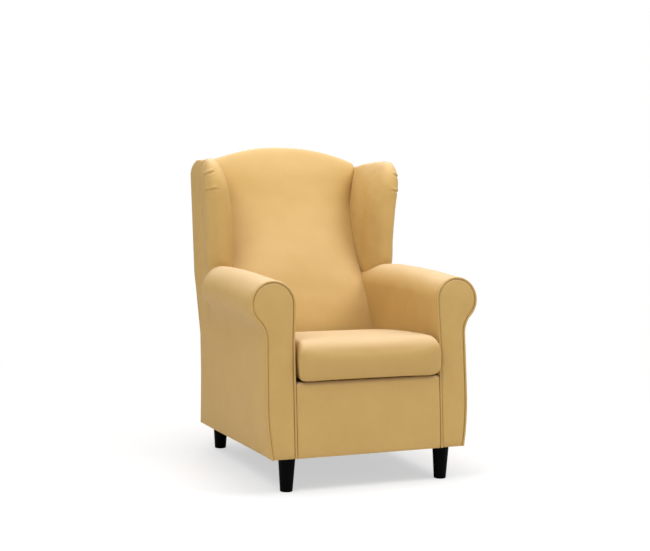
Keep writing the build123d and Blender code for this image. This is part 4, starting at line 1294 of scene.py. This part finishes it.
deck_low, deck_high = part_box("deck_cover")
deck_rings = sheet_rings(deck_low, deck_high, deck_high.z - deck_low.z, PLATFORM_DIP)
cover("platform", deck_rings, ["deck_cover", "deck_foam"], slot="platform_cloth")

dust_low, dust_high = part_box("dust_cover")
dust_rings = sheet_rings(dust_low, dust_high, DUST_THICKNESS, DUST_DIP)
dust_rings[..., 0] *= 1 - (dust_rings[..., 1] - FRONT_Y) * TAPER / dust_high.x
dust_rings[..., 2] += base_z(dust_rings[..., 1]) - dust_high.z + DUST_LIFT
dust = cover("dust_sheet", dust_rings, ["dust_cover"], slot="dust_cloth")

# %% [markdown]
# ## The seat cushion
# The loose cushion is a foam block in a sewn cover: a full round front without a seam, a crowned top, and
# two end panels. The shape starts slightly small as a ring grid, is remeshed into even voxels, and then a
# cloth simulation blows it up gently from inside, which rounds it the way a filled cover rounds.

# %% Cushion shape
CUSHION_X, CUSHION_HALF = 0.0022, 0.2300
CUSHION_FRONT, CUSHION_REAR = -0.396, 0.072
CUSHION_LOW, CUSHION_EDGE = 0.3225, 0.443
CUSHION_CROWN, CUSHION_FALL = 0.004, 0.030
CUSHION_END, CUSHION_SHRINK = 0.009, 0.003
NOSE, TOE = 0.040, 0.016
NOSE_BULGE, NOSE_Y = 0.008, (-0.392, -0.368)
REAR_TOP, REAR_FOOT = 0.02, 0.012
CUSHION_FLAT_ROWS, CUSHION_END_ROWS = 40, 8
FLAT_POINTS, DOWN_POINTS = 40, 16


def cushion_section(inset):
    """Side view (y, z): underside, short round toe, tall round nose, crowned top, rear."""
    front, rear = CUSHION_FRONT + inset, CUSHION_REAR - 0.5 * inset
    low, edge = CUSHION_LOW + 0.35 * inset, CUSHION_EDGE - inset
    turn = quarter(TURN_POINTS)
    bend = turn[1:]
    foot = turn[1:-1]
    under = np.linspace(rear - REAR_FOOT, front + TOE, FLAT_POINTS)[:-1]
    share = np.linspace(0, 1, FLAT_POINTS)[1:]
    top = edge + CUSHION_CROWN * np.sin(pi * share**0.8) - CUSHION_FALL * share**1.5
    down = np.linspace(top[-1] - REAR_TOP, low + REAR_FOOT, DOWN_POINTS)[1:]
    y = [
        under,
        front + TOE * (1 - np.sin(turn)),
        front + NOSE * (1 - np.cos(bend)),
        front + NOSE + (rear - REAR_TOP - front - NOSE) * share,
        rear - REAR_TOP + REAR_TOP * np.sin(bend),
        rear + 0 * down,
        rear - REAR_FOOT * (1 - np.cos(foot)),
    ]
    z = [
        low + 0 * under,
        low + TOE - TOE * np.cos(turn),
        edge - NOSE + NOSE * np.sin(bend),
        top,
        top[-1] - REAR_TOP * (1 - np.cos(bend)),
        down,
        low + REAR_FOOT * (1 - np.sin(foot)),
    ]
    return as_points(join(y), join(z))


def cushion_rings():
    """Side views across the cushion, a little small, drawn in at both ends."""
    flat = CUSHION_HALF - CUSHION_END - CUSHION_SHRINK
    reach, inset = drawn_ends(flat, CUSHION_END, CUSHION_END, CUSHION_FLAT_ROWS, CUSHION_END_ROWS)
    sections = np.stack([cushion_section(draw + CUSHION_SHRINK) for draw in inset])
    ahead = 1 - soft_step(sections[..., :1], *NOSE_Y)
    x = CUSHION_X + reach[:, None, None] * (1 + ahead * NOSE_BULGE / CUSHION_HALF)
    return join([x, sections], axis=-1)


cushion = ring_piece("seat_cushion", cushion_rings(), "camel_cloth")
print("cushion:", len(cushion.data.polygons), "faces before the simulation")

# %% Cushion simulation
VOXEL = 0.005
PRESSURE = 4.0
STRETCH_STIFFNESS, BEND_STIFFNESS = 40, 4
LAST_FRAME = 18
MOVE_LIMIT = 0.003
RELAX_STEPS = 30


def points_of(piece):
    """The vertices of a mesh object as one array."""
    points = np.empty(len(piece.data.vertices) * 3)
    piece.data.vertices.foreach_get("co", points)
    return points.reshape(-1, 3)


def apply_modifiers(piece):
    """Replaces the piece's mesh by what its modifiers make of it."""
    depsgraph = bpy.context.evaluated_depsgraph_get()
    made = bpy.data.meshes.new_from_object(piece.evaluated_get(depsgraph))
    made.name = piece.data.name
    piece.modifiers.clear()
    piece.data = made


def blow_up(piece):
    """Remeshes a piece, swells it with cloth pressure and limits each point's move."""
    remesh = piece.modifiers.new("voxels", "REMESH")
    remesh.mode = "VOXEL"
    remesh.voxel_size = VOXEL
    apply_modifiers(piece)
    start = points_of(piece)
    cloth = piece.modifiers.new("cloth", "CLOTH")
    cloth.settings.use_pressure = True
    cloth.settings.uniform_pressure_force = PRESSURE
    cloth.settings.tension_stiffness = STRETCH_STIFFNESS
    cloth.settings.compression_stiffness = STRETCH_STIFFNESS
    cloth.settings.bending_stiffness = BEND_STIFFNESS
    cloth.settings.effector_weights.gravity = 0.0
    scene = bpy.context.scene
    for step in range(1, LAST_FRAME + 1):
        scene.frame_set(step)
    apply_modifiers(piece)
    scene.frame_set(1)
    move = points_of(piece) - start
    length = np.linalg.norm(move, axis=1, keepdims=True)
    move *= np.minimum(1.0, MOVE_LIMIT / np.maximum(length, TINY))
    return start + move, float(length.max())


swollen, furthest = blow_up(cushion)
cushion.data.vertices.foreach_set("co", swollen.ravel())
cushion.data.update()
relax = cushion.modifiers.new("relax", "SMOOTH")
relax.factor = 0.5
relax.iterations = RELAX_STEPS
apply_modifiers(cushion)
print("cushion: swelled, the furthest point moved", round(furthest, 4), "m before its limit")

# %% Cushion finish
smooth = cushion.modifiers.new("smooth", "SUBSURF")
smooth.levels = 1
smooth.render_levels = 1
cushion.data.polygons.foreach_set("use_smooth", np.ones(len(cushion.data.polygons), dtype=bool))
dress(cushion, "cushion", ["cushion_cover", "cushion_core"])

# %% [markdown]
# ## Carried-over pieces
# Boards, springs, webbing, bolts, zip and legs keep their own shapes from the frame, because they are
# right as they are. Each takes the finish of what it is made of, with the grain along its length.

# %% Finishes of the carried-over nodes
# Nodes by finish: those that come as a left and right pair, and those that come once
CARRIED_PAIRS = [
    (TIMBER_Y, ["side_rail", "seat_rail", "arm_top_rail"]),
    (TIMBER_Z, ["back_post", "arm_front_board", "wing_panel"]),
    (FIBRE_BOARD, ["arm_outer_lining"]),
    (LACQUER, ["leg_front", "leg_rear"]),
]
CARRIED = [
    (TIMBER_X, ["front_board", "rear_rail", "seat_rail_rear", "back_top_rail", "back_lumbar_rail"]),
    (TIMBER_Z, ["corner_blocks"]),
    (FIBRE_BOARD, ["back_lining"]),
    (SPRING_STEEL, ["seat_springs", "spring_clips", "hanger_bolts", "tee_nuts"]),
    (WEBBING, ["back_webbing"]),
    (ZIP_TAPE, ["cushion_zip"]),
    (ZIP_METAL, ["zip_slider"]),
]
for material, names in CARRIED_PAIRS:
    CARRIED.append((material, [f"{name}_{side}" for name in names for side in SIDES]))
for material, names in CARRIED:
    for name in names:
        NODES[name].data.materials.clear()
        NODES[name].data.materials.append(material)
print("carried over:", sum(len(names) for _, names in CARRIED), "nodes")
